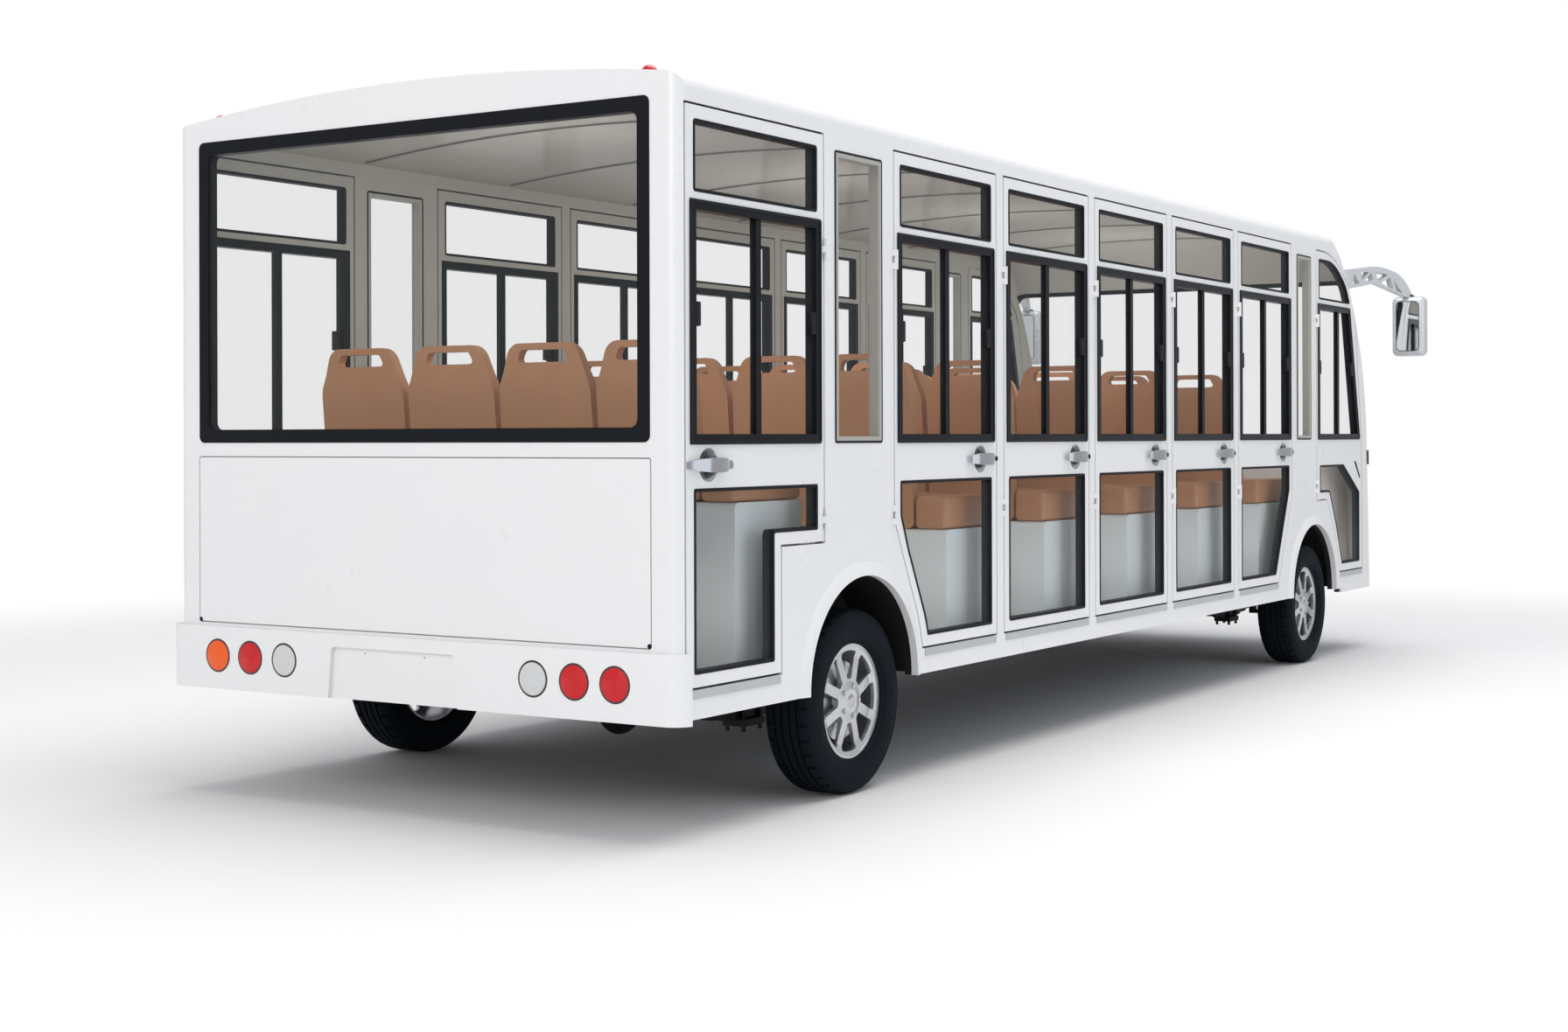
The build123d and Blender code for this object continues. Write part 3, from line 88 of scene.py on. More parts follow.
class Finish:
    """One material and the nodes that make its colour, gloss and bump."""

    def __init__(self, name, colour, roughness, metallic=0.0):
        self.material = bpy.data.materials.new(name)
        self.material.use_nodes = True
        self.tree = self.material.node_tree
        self.shader = self.tree.nodes["Principled BSDF"]
        self.shader.inputs["Base Color"].default_value = (*colour, 1)
        self.shader.inputs["Roughness"].default_value = roughness
        self.shader.inputs["Metallic"].default_value = metallic
        self.object_point = self.tree.nodes.new("ShaderNodeTexCoord").outputs["Object"]
        self.split = None

    def link(self, source, target):
        self.tree.links.new(source, target)

    def axis(self, letter):
        """One coordinate of the point on the object."""
        if self.split is None:
            self.split = self.tree.nodes.new("ShaderNodeSeparateXYZ")
            self.link(self.object_point, self.split.inputs[0])
        return self.split.outputs[letter]

    def calc(self, operation, first, second=None, third=None):
        """Result of one math operation on numbers or sockets."""
        node = self.tree.nodes.new("ShaderNodeMath")
        node.operation = operation
        for socket, value in zip(node.inputs, (first, second, third)):
            if value is None:
                continue
            if isinstance(value, (int, float)):
                socket.default_value = value
            else:
                self.link(value, socket)
        return node.outputs[0]

    def within(self, value, low, high):
        """One where a value lies between two limits, nought elsewhere."""
        return self.calc("COMPARE", value, (low + high) / 2, (high - low) / 2)

    def both(self, *masks):
        result = masks[0]
        for mask in masks[1:]:
            result = self.calc("MULTIPLY", result, mask)
        return result

    def square(self, first, second):
        """Sum of the squares of two lengths."""
        return self.calc("MULTIPLY_ADD", second, second, self.calc("MULTIPLY", first, first))

    def facing(self):
        """Which way the surface faces, split into X, Y and Z."""
        geometry = self.tree.nodes.new("ShaderNodeNewGeometry")
        split = self.tree.nodes.new("ShaderNodeSeparateXYZ")
        self.link(geometry.outputs["Normal"], split.inputs[0])
        return split.outputs

    def noise(self, scale, detail=3.0):
        node = self.tree.nodes.new("ShaderNodeTexNoise")
        node.inputs["Scale"].default_value = scale
        node.inputs["Detail"].default_value = detail
        self.link(self.object_point, node.inputs["Vector"])
        return node.outputs["Fac"]

    def spread(self, value, low, high):
        """A value from nought to one, spread between two others."""
        node = self.tree.nodes.new("ShaderNodeMapRange")
        node.inputs["To Min"].default_value = low
        node.inputs["To Max"].default_value = high
        self.link(value, node.inputs["Value"])
        return node.outputs[0]

    def blend(self, mask, first, second):
        """Colour that is the first where the mask is nought and the second where it is one."""
        node = self.tree.nodes.new("ShaderNodeMix")
        node.data_type = "RGBA"
        sockets = [socket for socket in node.inputs if socket.type == "RGBA"]
        for socket, colour in zip(sockets, (first, second)):
            if isinstance(colour, tuple):
                socket.default_value = (*colour, 1)
            else:
                self.link(colour, socket)
        self.link(mask, node.inputs[0])
        return [socket for socket in node.outputs if socket.type == "RGBA"][0]

    def choose(self, mask, first, second):
        """Number that is the first where the mask is nought and the second where it is one."""
        rise = self.calc("SUBTRACT", second, first)
        return self.calc("MULTIPLY_ADD", mask, rise, first)

    def colour(self, source):
        self.link(source, self.shader.inputs["Base Color"])

    def roughness(self, source):
        self.link(source, self.shader.inputs["Roughness"])

    def metallic(self, source):
        self.link(source, self.shader.inputs["Metallic"])

    def bump(self, height, strength, distance):
        node = self.tree.nodes.new("ShaderNodeBump")
        node.inputs["Strength"].default_value = strength
        node.inputs["Distance"].default_value = distance
        self.link(height, node.inputs["Height"])
        self.link(node.outputs[0], self.shader.inputs["Normal"])

    def coat(self, weight, roughness):
        self.shader.inputs["Coat Weight"].default_value = weight
        self.shader.inputs["Coat Roughness"].default_value = roughness

    def shine(self, level):
        self.shader.inputs["Specular IOR Level"].default_value = level

    def dull_where(self, mask, coat, coat_left, level, level_left):
        """Less coat and shine where a mask is one."""
        self.link(self.choose(mask, coat, coat_left), self.shader.inputs["Coat Weight"])
        self.link(self.choose(mask, level, level_left), self.shader.inputs["Specular IOR Level"])


WHITE = (0.80, 0.806, 0.825)
WHITE_WARM = (0.815, 0.815, 0.81)
CABIN_GREY = (0.40, 0.395, 0.365)
BLACK_TRIM = (0.006, 0.007, 0.010)
# Black of the linings in the arches and under the floor, and of the painted shade in holes
BLACK_LINING_AND_HOLE_SHADE = (0.004, 0.004, 0.004)
CHROME = (0.50, 0.51, 0.53)
TRIM_SHINE = 0.14


def painted(name):
    """White paint with a little drift in tone and gloss."""
    paint = Finish(name, WHITE, 0.3)
    paint.tone = paint.blend(paint.noise(1.3, 2.0), WHITE, WHITE_WARM)
    paint.gloss = paint.spread(paint.noise(9.0, 4.0), 0.24, 0.36)
    paint.coat(0.3, 0.12)
    paint.bump(paint.noise(260.0, 2.0), 0.05, 0.0004)
    return paint


def body_paint(name, inside, holes=()):
    """Paint outside, cabin grey inside, black inside the arches and below the sill, and black discs
    of painted shade in holes.
    """
    paint = painted(name)
    mask = inside(paint)
    shade = paint.blend(mask, paint.tone, CABIN_GREY)
    shade = paint.blend(paint.both(mask, hidden_lining(paint)), shade, BLACK_LINING_AND_HOLE_SHADE)
    # Each hole is a black disc of painted shade
    for left, up in holes:
        across = paint.calc("SUBTRACT", paint.axis("X"), left)
        above = paint.calc("SUBTRACT", paint.axis("Z"), up)
        hole = paint.calc("LESS_THAN", paint.square(across, above), PLATE_HOLE_RADIUS**2)
        shade = paint.blend(hole, shade, BLACK_LINING_AND_HOLE_SHADE)
    paint.colour(shade)
    paint.roughness(paint.choose(mask, paint.gloss, 0.55))
    return paint.material


def from_arch(finish, arch):
    """How far behind and above the middle of a wheel arch a point lies."""
    ahead, up = arch
    behind = finish.calc("SUBTRACT", finish.axis("Y"), REAR_FACE - ahead)
    return behind, finish.calc("SUBTRACT", finish.axis("Z"), up)


def hidden_lining(finish):
    """Where a skin's inner side looks into a wheel arch or lies below the sill."""
    lining = finish.calc("LESS_THAN", finish.axis("Z"), SILL - 0.004)
    for arch in ARCHES:
        away = finish.square(*from_arch(finish, arch))
        inside = finish.calc("LESS_THAN", away, ARCH_LINING_RADIUS**2)
        lining = finish.calc("MAXIMUM", lining, inside)
    return lining


def side_reach(finish):
    return finish.calc("ABSOLUTE", finish.axis("X"))


def behind_side(paint):
    return paint.calc("LESS_THAN", side_reach(paint), HALF_WIDTH - SKIN_DEPTH)


def inside_shell(paint):
    """Everything that lies below the roof's outer arc and behind the rear and side faces."""
    reach = paint.calc("MINIMUM", side_reach(paint), HALF_WIDTH)
    drop = paint.calc("MULTIPLY", paint.calc("MULTIPLY", reach, reach), 1 / (2 * ROOF_RADIUS))
    under = paint.calc("LESS_THAN", paint.calc("ADD", paint.axis("Z"), drop), CROWN - 0.014)
    return paint.both(under, behind_side(paint), ahead_of_rear(paint))


def below_roof(paint):
    """The shell's inner side, told from the slope over the windscreen by where it faces."""
    return paint.both(inside_shell(paint), paint.calc("LESS_THAN", paint.facing()["Z"], 0.12))


def ahead_of_rear(paint):
    return paint.calc("LESS_THAN", paint.axis("Y"), REAR_FACE - 0.014)


def behind_nose(paint):
    """The front mask's inner side: it faces backwards or to the middle of the bus."""
    facing = paint.facing()
    back = paint.calc("GREATER_THAN", facing["Y"], 0.25)
    inward = paint.calc("MULTIPLY", facing["X"], paint.axis("X"))
    return paint.calc("MAXIMUM", back, paint.calc("LESS_THAN", inward, -0.3))


def never(paint):
    """No inner side at all."""
    return paint.calc("LESS_THAN", side_reach(paint), 0.0)


def black_trim(name, roughness=0.34):
    trim = Finish(name, BLACK_TRIM, roughness)
    trim.colour(trim.blend(trim.noise(6.0), (0.007, 0.008, 0.011), (0.013, 0.014, 0.018)))
    trim.roughness(trim.spread(trim.noise(30.0), roughness - 0.05, roughness + 0.09))
    trim.shine(TRIM_SHINE)
    trim.bump(trim.noise(420.0), 0.12, 0.0004)
    return trim.material


def window_frame_finish():
    """Black frames, of which the narrow windows' show only a thin black edge."""
    trim = Finish("black_window_frame", BLACK_TRIM, 0.38)
    trim.shine(TRIM_SHINE)
    back = trim.axis("Y")
    upright = trim.within(trim.axis("Z"), SASH_FOOT + NARROW_EDGE, WINDOW_HEAD - NARROW_EDGE)
    spans = [
        trim.within(back, REAR_FACE - last + NARROW_EDGE, REAR_FACE - first - NARROW_EDGE)
        for first, last in NARROW_WINDOWS
    ]
    inner = trim.both(upright, trim.calc("MAXIMUM", *spans))
    trim.colour(trim.blend(inner, BLACK_TRIM, CABIN_GREY))
    trim.roughness(trim.spread(trim.noise(30.0), 0.33, 0.46))
    trim.bump(trim.noise(420.0), 0.12, 0.0004)
    return trim.material


def plain_grain(name, colour, roughness, scale, strength, distance, metallic=0.0, drift=0.12):
    """Moulded or cast finish: drift in tone, uneven gloss and a fine grain."""
    finish = Finish(name, colour, roughness, metallic)
    darker = tuple(channel * (1 - drift) for channel in colour)
    finish.colour(finish.blend(finish.noise(3.0), darker, colour))
    finish.roughness(finish.spread(finish.noise(14.0), roughness - 0.06, roughness + 0.08))
    finish.bump(finish.noise(scale), strength, distance)
    return finish


def clear_glass(name, colour, alpha):
    pane = Finish(name, colour, 0.03)
    pane.colour(pane.blend(pane.noise(1.1, 2.0), colour, tuple(c * 0.85 for c in colour)))
    pane.shader.inputs["Alpha"].default_value = alpha
    pane.shader.inputs["IOR"].default_value = 1.5
    pane.coat(0.5, 0.02)
    return pane.material


paint_sides = body_paint("white_paint_sides", behind_side)
paint_roof = body_paint("white_paint_roof", below_roof)
paint_rear = body_paint("white_paint_rear", inside_shell, PLATE_HOLES)
paint_front = body_paint("white_paint_front", behind_nose)
paint_all = body_paint("white_paint", never)
trim_black = black_trim("black_window_frame")
# Black rubber, which also colours the strips of painted shade in the door gaps
rubber = black_trim("black_rubber_and_gap_shade", 0.55)
glass_side = clear_glass("side_glass", (0.16, 0.18, 0.185), 0.06)
glass_fixed = clear_glass("fixed_glass_tint", (0.14, 0.16, 0.165), 0.07)
seat_tan = plain_grain("seat_tan_grained", (0.55, 0.27, 0.135), 0.42, 320.0, 0.18, 0.0006)
seat_shell = plain_grain("seat_base_moulding", (0.84, 0.90, 0.92), 0.45, 300.0, 0.1, 0.0005)
cabin_vinyl = plain_grain("cabin_seam_grey", (0.24, 0.24, 0.23), 0.6, 150.0, 0.2, 0.001)
dash_plastic = plain_grain("dashboard_plastic", (0.72, 0.67, 0.65), 0.5, 380.0, 0.2, 0.0005)
wheel_plastic = plain_grain("steering_wheel_rim", (0.02, 0.02, 0.022), 0.45, 380.0, 0.2, 0.0005)
underbody = plain_grain("underbody_black", (0.012, 0.012, 0.014), 0.62, 90.0, 0.25, 0.001)
battery_skin = plain_grain("battery_casing", (0.03, 0.03, 0.034), 0.5, 120.0, 0.15, 0.001)
bare_steel = plain_grain("bare_steel", (0.24, 0.24, 0.25), 0.38, 200.0, 0.15, 0.0005, 0.9)
alloy = plain_grain("wheel_alloy", (0.60, 0.61, 0.63), 0.27, 240.0, 0.05, 0.0003, 0.85, 0.06)
silver = (0.62, 0.645, 0.665)
mirror_shell = plain_grain("mirror_silver", silver, 0.28, 300.0, 0.04, 0.0003, 0.25, 0.05)
mirror_face = Finish("mirror_face", (0.9, 0.91, 0.92), 0.03, 1.0)
mirror_face.roughness(mirror_face.spread(mirror_face.noise(2.0), 0.015, 0.05))
chrome_bright = plain_grain("chrome", CHROME, 0.12, 60.0, 0.02, 0.0003, 1.0, 0.05)


def tread_strip_finish():
    """Grey sill strip with ribs that run along it."""
    finish = Finish("sill_tread_grey", (0.53, 0.54, 0.56), 0.42, 0.35)
    ribs = finish.calc("SINE", finish.calc("MULTIPLY", finish.axis("Z"), 1400.0))
    finish.colour(finish.blend(finish.noise(8.0), (0.49, 0.5, 0.52), (0.56, 0.57, 0.59)))
    finish.roughness(finish.spread(finish.noise(40.0), 0.34, 0.5))
    finish.bump(ribs, 0.25, 0.001)
    return finish.material


def tyre_finish():
    """Dull rubber with a little dust."""
    finish = Finish("tyre_rubber", (0.010, 0.012, 0.015), 0.6)
    finish.shine(0.08)
    dust = finish.noise(5.0, 4.0)
    finish.colour(finish.blend(dust, (0.004, 0.008, 0.012), (0.009, 0.012, 0.017)))
    finish.roughness(finish.spread(finish.noise(25.0), 0.62, 0.78))
    finish.bump(finish.noise(350.0, 2.0), 0.15, 0.0006)
    return finish.material


def deck_finish():
    """Grey vinyl in the cabin, black below the floor and inside the wheel housings."""
    finish = Finish("floor_vinyl", (0.19, 0.19, 0.185), 0.6)
    facing = finish.facing()
    up = facing["Z"]
    below = finish.calc("LESS_THAN", up, -0.3)
    outward = finish.calc("MULTIPLY", facing["X"], finish.axis("X"))
    outward = finish.calc("GREATER_THAN", outward, 0.3)
    for arch in ARCHES:
        behind, above = from_arch(finish, arch)
        near = finish.calc("LESS_THAN", finish.calc("ABSOLUTE", behind), HOUSING_REACH)
        rise = finish.calc("MULTIPLY", up, above)
        turned = finish.calc("MULTIPLY_ADD", facing["Y"], behind, rise)
        turned = finish.calc("LESS_THAN", turned, -0.1)
        shown = finish.both(near, finish.calc("MAXIMUM", turned, outward))
        below = finish.calc("MAXIMUM", below, shown)
    vinyl = finish.blend(finish.noise(3.0), (0.29, 0.29, 0.28), (0.34, 0.34, 0.33))
    finish.colour(finish.blend(below, vinyl, BLACK_LINING_AND_HOLE_SHADE))
    finish.roughness(finish.spread(finish.noise(14.0), 0.54, 0.68))
    finish.bump(finish.noise(150.0), 0.2, 0.001)
    return finish.material


tread_grey = tread_strip_finish()
tyre_black = tyre_finish()


# Front edge of the front doors' sash, as (ahead, up) at its foot and its head
FRONT_SASH_EDGE = ((6.5615, 1.1635), (6.3825, 1.8785))
# Round the middle of a pull handle: the dish's radius and depth, and the bridge's half sizes
BOWL_RADIUS = 0.0502
BOWL_REACH = 1.019
BRIDGE_LENGTH = 0.118
BRIDGE_HEIGHT = 0.026


def door_finish(row):
    """A door's paint, black sash and chrome handle, told apart by their places on the door."""
    name, grip, sash = row["name"], row["grip"], row["sash"]
    door = painted("door_" + name + "_finish")
    reach = side_reach(door)
    up = door.axis("Z")
    back = door.axis("Y")
    inner = door.calc("LESS_THAN", reach, HALF_WIDTH - SKIN_DEPTH)
    along = door.within(back, REAR_FACE - sash[1], REAR_FACE - sash[0])
    black = door.both(along, door.within(up, SASH_FOOT - 0.001, SASH_HEAD + 0.0015))
    if name == "front":
        # The front edge of this sash slants back as it rises
        (low_ahead, low_up), (high_ahead, high_up) = FRONT_SASH_EDGE
        slant = (low_ahead - high_ahead) / (high_up - low_up)
        line = door.calc("MULTIPLY_ADD", up, slant, door.calc("MULTIPLY", back, -1.0))
        limit = low_ahead + 0.001 + low_up * slant - REAR_FACE
        black = door.both(black, door.calc("LESS_THAN", line, limit))
    shade = door.blend(inner, door.tone, CABIN_GREY)
    shade = door.blend(black, shade, BLACK_TRIM)
    gloss = door.choose(inner, door.gloss, 0.55)
    gloss = door.choose(black, gloss, 0.32)
    door.dull_where(black, 0.3, 0.0, 0.5, 0.12)
    if grip is not None:
        offset_back = door.calc("SUBTRACT", back, REAR_FACE - grip)
        offset_up = door.calc("SUBTRACT", up, HANDLE_HEIGHT)
        radius = door.calc("SQRT", door.square(offset_back, offset_up))
        deep = door.calc("GREATER_THAN", reach, BOWL_REACH)
        bowl = door.both(door.calc("LESS_THAN", radius, BOWL_RADIUS), deep)
        bar = door.both(
            door.within(offset_back, -BRIDGE_LENGTH, BRIDGE_LENGTH),
            door.within(offset_up, -BRIDGE_HEIGHT, BRIDGE_HEIGHT),
            door.calc("GREATER_THAN", reach, HALF_WIDTH + 0.0002),
        )
        bright = door.calc("MAXIMUM", bowl, bar)
        shade = door.blend(bright, shade, CHROME)
        gloss = door.choose(bright, gloss, 0.14)
        door.metallic(bright)
    door.colour(shade)
    door.roughness(gloss)
    return door.material


# Middles of the lamps to the side, and heights
REAR_LAMPS = (0.516, 0.671, 0.821)
REAR_LAMP_HEIGHT = 0.462
HEAD_LAMP = (0.730, 0.700)
# Bounds that tell the lamps apart, sideways and in height
LENS_REACH = 0.075
REAR_LAMPS_HEAD = 0.60
HEAD_LAMPS_HEAD = 0.90
CORNER_LAMPS_FOOT = 0.95
MARKERS_FOOT = 1.60
# Radii of the dark ring of painted shade in the groove round a rear lens, and of a head lamp's
# bezel and core
REAR_GROOVE_SHADE = (0.0495, 0.0570)
HEAD_BEZEL = (0.066, 0.100)
HEAD_CORE = 0.024


def lamp_finish():
    """Lens colours by place: amber, red and clear at the rear, clear at the front."""
    lens = Finish("lamp_lenses", (0.6, 0.01, 0.015), 0.2)
    reach = side_reach(lens)
    up = lens.axis("Z")
    front_half = lens.calc("LESS_THAN", lens.axis("Y"), 0.0)
    rear_half = lens.calc("SUBTRACT", 1.0, front_half)
    clear_lamp, _, amber_lamp = REAR_LAMPS
    amber = lens.within(lens.axis("X"), amber_lamp - LENS_REACH, amber_lamp + LENS_REACH)
    clear = lens.within(reach, clear_lamp - LENS_REACH, clear_lamp + LENS_REACH)
    marker = lens.calc("GREATER_THAN", up, MARKERS_FOOT)
    corner = lens.both(front_half, lens.calc("GREATER_THAN", up, CORNER_LAMPS_FOOT))
    shade = lens.blend(amber, (0.58, 0.003, 0.008), (0.86, 0.11, 0.004))
    shade = lens.blend(clear, shade, (0.62, 0.63, 0.64))
    shade = lens.blend(front_half, shade, (0.55, 0.57, 0.58))
    shade = lens.blend(marker, shade, (0.50, 0.008, 0.012))
    shade = lens.blend(corner, shade, (0.012, 0.013, 0.016))
    # Rear lamps: distance from the nearest lamp's middle, for the painted shade in the groove and
    # the lens rings
    above = lens.calc("SUBTRACT", up, REAR_LAMP_HEIGHT)
    radius = 1.0
    for middle in REAR_LAMPS:
        away = lens.calc("SQRT", lens.square(lens.calc("SUBTRACT", reach, middle), above))
        radius = lens.calc("MINIMUM", radius, away)
    rear = lens.both(rear_half, lens.calc("LESS_THAN", up, REAR_LAMPS_HEAD))
    rings = lens.calc("SINE", lens.calc("MULTIPLY", radius, 900.0))
    # The groove round each rear lens is a dark ring of painted shade
    groove = lens.both(rear, lens.within(radius, *REAR_GROOVE_SHADE))
    shade = lens.blend(groove, shade, (0.06, 0.03, 0.03))
    # Head lamps: a grey bezel and a bright core
    across = lens.calc("SUBTRACT", reach, HEAD_LAMP[0])
    above = lens.calc("SUBTRACT", up, HEAD_LAMP[1])
    away = lens.calc("SQRT", lens.square(across, above))
    ahead = lens.both(front_half, lens.calc("LESS_THAN", up, HEAD_LAMPS_HEAD))
    bezel = lens.both(ahead, lens.within(away, *HEAD_BEZEL))
    core = lens.both(ahead, lens.calc("LESS_THAN", away, HEAD_CORE))
    shade = lens.blend(bezel, shade, (0.16, 0.16, 0.17))
    lens.colour(lens.blend(core, shade, (0.88, 0.89, 0.9)))
    cells = lens.tree.nodes.new("ShaderNodeTexVoronoi")
    cells.inputs["Scale"].default_value = 130.0
    lens.link(lens.object_point, cells.inputs["Vector"])
    relief = lens.calc("MULTIPLY_ADD", lens.both(rear, rings), 0.35, cells.outputs["Distance"])
    lens.bump(relief, 0.35, 0.003)
    lens.roughness(lens.spread(lens.noise(30.0), 0.14, 0.24))
    lens.coat(0.35, 0.05)
    lens.dull_where(corner, 0.35, 0.0, 0.3, 0.08)
    return lens.material


# Doors: names, places along the bus and pane outlines as (ahead, up, rounding), in metres


def plain_pane(start, foot, end, head, rounding=0.012):
    corners = ((start, foot), (end, foot), (end, head), (start, head))
    return [(ahead, up, rounding) for ahead, up in corners]


def door_row(name, start, end, grip, lower=None, shade_strip_span=None):
    """One door's places: its handle, sash, panes and the straight run of its lower edge, where a
    black strip of painted shade fills the gap.
    """
    return {
        "name": name,
        "span": (start, end),
        "grip": grip,
        "sash": (start + SASH_MARGIN, end - SASH_MARGIN),
        "shade_strip_span": shade_strip_span or (start + 0.006, end - 0.006),
        "transom": plain_pane(start + STILE, TRANSOM_FOOT, end - STILE, WINDOW_HEAD),
        "lower": lower or plain_pane(start + STILE, PANE_FOOT, end - STILE, PANE_HEAD),
        "frame": plain_pane(start + SASH_MARGIN, SASH_FOOT, end - SASH_MARGIN, SASH_HEAD, 0.010),
    }


rear_lower = [
    (0.073, PANE_FOOT, 0.008),
    (0.510, PANE_FOOT, 0.008),
    (0.510, 0.889, 0.008),
    (0.769, 0.889, 0.008),
    (0.769, PANE_HEAD, 0.008),
    (0.073, PANE_HEAD, 0.008),
]
first_lower = [
    (1.314, PANE_HEAD, 0.008),
    (1.314, 0.915, 0.050),
    (1.365, 0.795, 0.26),
    (1.488, 0.555, 0.45),
    (1.507, PANE_FOOT, 0.006),
    (2.010, PANE_FOOT, 0.008),
    (2.010, PANE_HEAD, 0.008),
]
last_lower = [
    (4.678, PANE_FOOT, 0.008),
    (5.169, PANE_FOOT, 0.008),
    (5.358, 0.880, 0.030),
    (5.374, 0.912, 0.020),
    (5.374, PANE_HEAD, 0.008),
    (4.678, PANE_HEAD, 0.008),
]
doors = [
    door_row("rear", 0.035, 0.807, 0.150, rear_lower, (0.041, 0.540)),
    door_row("1", 1.276, 2.048, 1.918, first_lower, (1.500, 2.042)),
    door_row("2", 2.117, 2.889, 2.759),
    door_row("3", 2.958, 3.730, 3.600),
    door_row("4", 3.799, 4.571, 4.441),
    door_row("5", 4.640, 5.412, 5.282, last_lower, (4.646, 5.180)),
]
front_row = door_row("front", 5.818, FRONT_DOOR_END, None, None, (6.230, FRONT_DOOR_END))
front_row["sash"] = (5.837, FRONT_DOOR_END)
front_row["transom"] = [
    (5.856, TRANSOM_FOOT, 0.012),
    (6.398, TRANSOM_FOOT, 0.012),
    (6.322, 2.000, 0.20),
    (6.120, WINDOW_HEAD, 0.50),
    (5.856, WINDOW_HEAD, 0.012),
]
front_row["lower"] = [
    (5.868, 0.885, 0.008),
    (6.026, 0.885, 0.020),
    (6.134, 0.712, 0.26),
    (6.218, 0.540, 0.45),
    (6.240, PANE_FOOT, 0.006),
    (6.556, PANE_FOOT, 0.008),
    (6.556, 0.876, 0.016),
    (6.273, 1.029, 0.016),
    (5.868, 1.029, 0.008),
]
front_row["frame"] = [
    (5.837, SASH_FOOT, 0.01),
    (SASH_END, SASH_FOOT, 0.01),
    (6.382, SASH_HEAD, 0.01),
    (5.837, SASH_HEAD, 0.01),
]
doors.append(front_row)

# Finishes of the frame's own nodes
node_finish = {
    "chassis_frame": underbody.material,
    "floor_deck": deck_finish(),
    "rear_quarters": paint_sides,
    "front_quarters": paint_sides,
    "skirts_and_posts": paint_sides,
    "roof": paint_roof,
    "front_mask": paint_front,
    "rear_end": paint_rear,
    "rear_panels": paint_all,
    "window_frames": window_frame_finish(),
    "fixed_glass": glass_fixed,
    "lamps": lamp_finish(),
    "mirrors": mirror_shell.material,
    "sill_treads": tread_grey,
    "door_hinges": paint_all,
    "axles_and_springs": underbody.material,
    "battery_block": battery_skin.material,
    "dashboard": dash_plastic.material,
    "seat_bases": seat_shell.material,
    "seats": seat_tan.material,
    "tie_rod": bare_steel.material,
    "steering_wheel": wheel_plastic.material,
}
for row in doors:
    finish = door_finish(row)
    for side in SIDES:
        node_finish["door_" + side + "_" + row["name"]] = finish
        node_finish["door_" + side + "_" + row["name"] + "_glass"] = glass_side
for side in SIDES:
    node_finish["knuckle_" + side] = bare_steel.material
    for axle in ("front", "rear"):
        node_finish["tyre_" + axle + "_" + side] = tyre_black
        node_finish["rim_" + axle + "_" + side] = alloy.material
for name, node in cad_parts.items():
    node.data.materials.clear()
    node.data.materials.append(node_finish[name])


# Piece building


def mesh_object(edit, name, material):
    """Object made of an edited mesh, in one material."""
    mesh = bpy.data.meshes.new(name)
    edit.to_mesh(mesh)
    edit.free()
    mesh.materials.append(material)
    item = bpy.data.objects.new(name, mesh)
    bpy.context.scene.collection.objects.link(item)
    return item


def piece(edit, name, body, material, smooth=40, bevel=0.0):
    """Turns an edited mesh into a piece that rides on a body, with soft edges where asked."""
    bmesh.ops.remove_doubles(edit, verts=edit.verts, dist=1e-6)
    bmesh.ops.recalc_face_normals(edit, faces=edit.faces)
    item = mesh_object(edit, name, material)
    item.data.shade_smooth()
    item.data.set_sharp_from_angle(angle=math.radians(smooth))
    if bevel:
        soften = item.modifiers.new("soft_edges", "BEVEL")
        soften.width = bevel
        soften.segments = 2
        soften.limit_method = "ANGLE"
        soften.angle_limit = math.radians(35)
    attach(item, body)
    return item


def join(target, source):
    """Adds one edited mesh to another and frees it."""
    carrier = bpy.data.meshes.new("carrier")
    source.to_mesh(carrier)
    source.free()
    target.from_mesh(carrier)
    bpy.data.meshes.remove(carrier)


def mirror_mesh(source):
    """Copy of an edited mesh on the other side of the bus."""
    twin = source.copy()
    bmesh.ops.scale(twin, vec=(-1, 1, 1), verts=twin.verts)
    bmesh.ops.reverse_faces(twin, faces=twin.faces)
    return twin


def extruded(edit):
    """Extrudes all faces in place and gives the new vertices."""
    grown = bmesh.ops.extrude_face_region(edit, geom=edit.faces[:])
    return [item for item in grown["geom"] if isinstance(item, bmesh.types.BMVert)]


def cut(edit, point, normal):
    """Divides the faces that a plane crosses."""
    everything = edit.verts[:] + edit.edges[:] + edit.faces[:]
    bmesh.ops.bisect_plane(edit, geom=everything, plane_co=point, plane_no=normal)


def round_edges(edit, rounding, segments):
    bmesh.ops.bevel(
        edit,
        geom=edit.edges[:],
        offset=rounding,
        offset_type="OFFSET",
        segments=segments,
        profile=0.5,
        affect="EDGES",
        clamp_overlap=True,
        material=-1,
    )


def rounded_face(edit, points, to_place):
    """Face through points, each corner rounded by its own radius."""
    corners = [edit.verts.new(to_place(a, b)) for a, b, _ in points]
    face = edit.faces.new(corners)
    count = len(points)
    for number, (a, b, radius) in enumerate(points):
        if radius <= 0:
            continue
        here = Vector((a, b))
        before = Vector(points[number - 1][:2]) - here
        after = Vector(points[(number + 1) % count][:2]) - here
        angle = before.angle(after)
        reach = radius / math.tan(angle / 2)
        reach = min(reach, 0.45 * before.length, 0.45 * after.length)
        bmesh.ops.bevel(
            edit,
            geom=[corners[number]],
            offset=reach,
            offset_type="OFFSET",
            segments=5,
            profile=0.5,
            affect="VERTICES",
            clamp_overlap=True,
            material=-1,
        )
    return edit.faces[:]


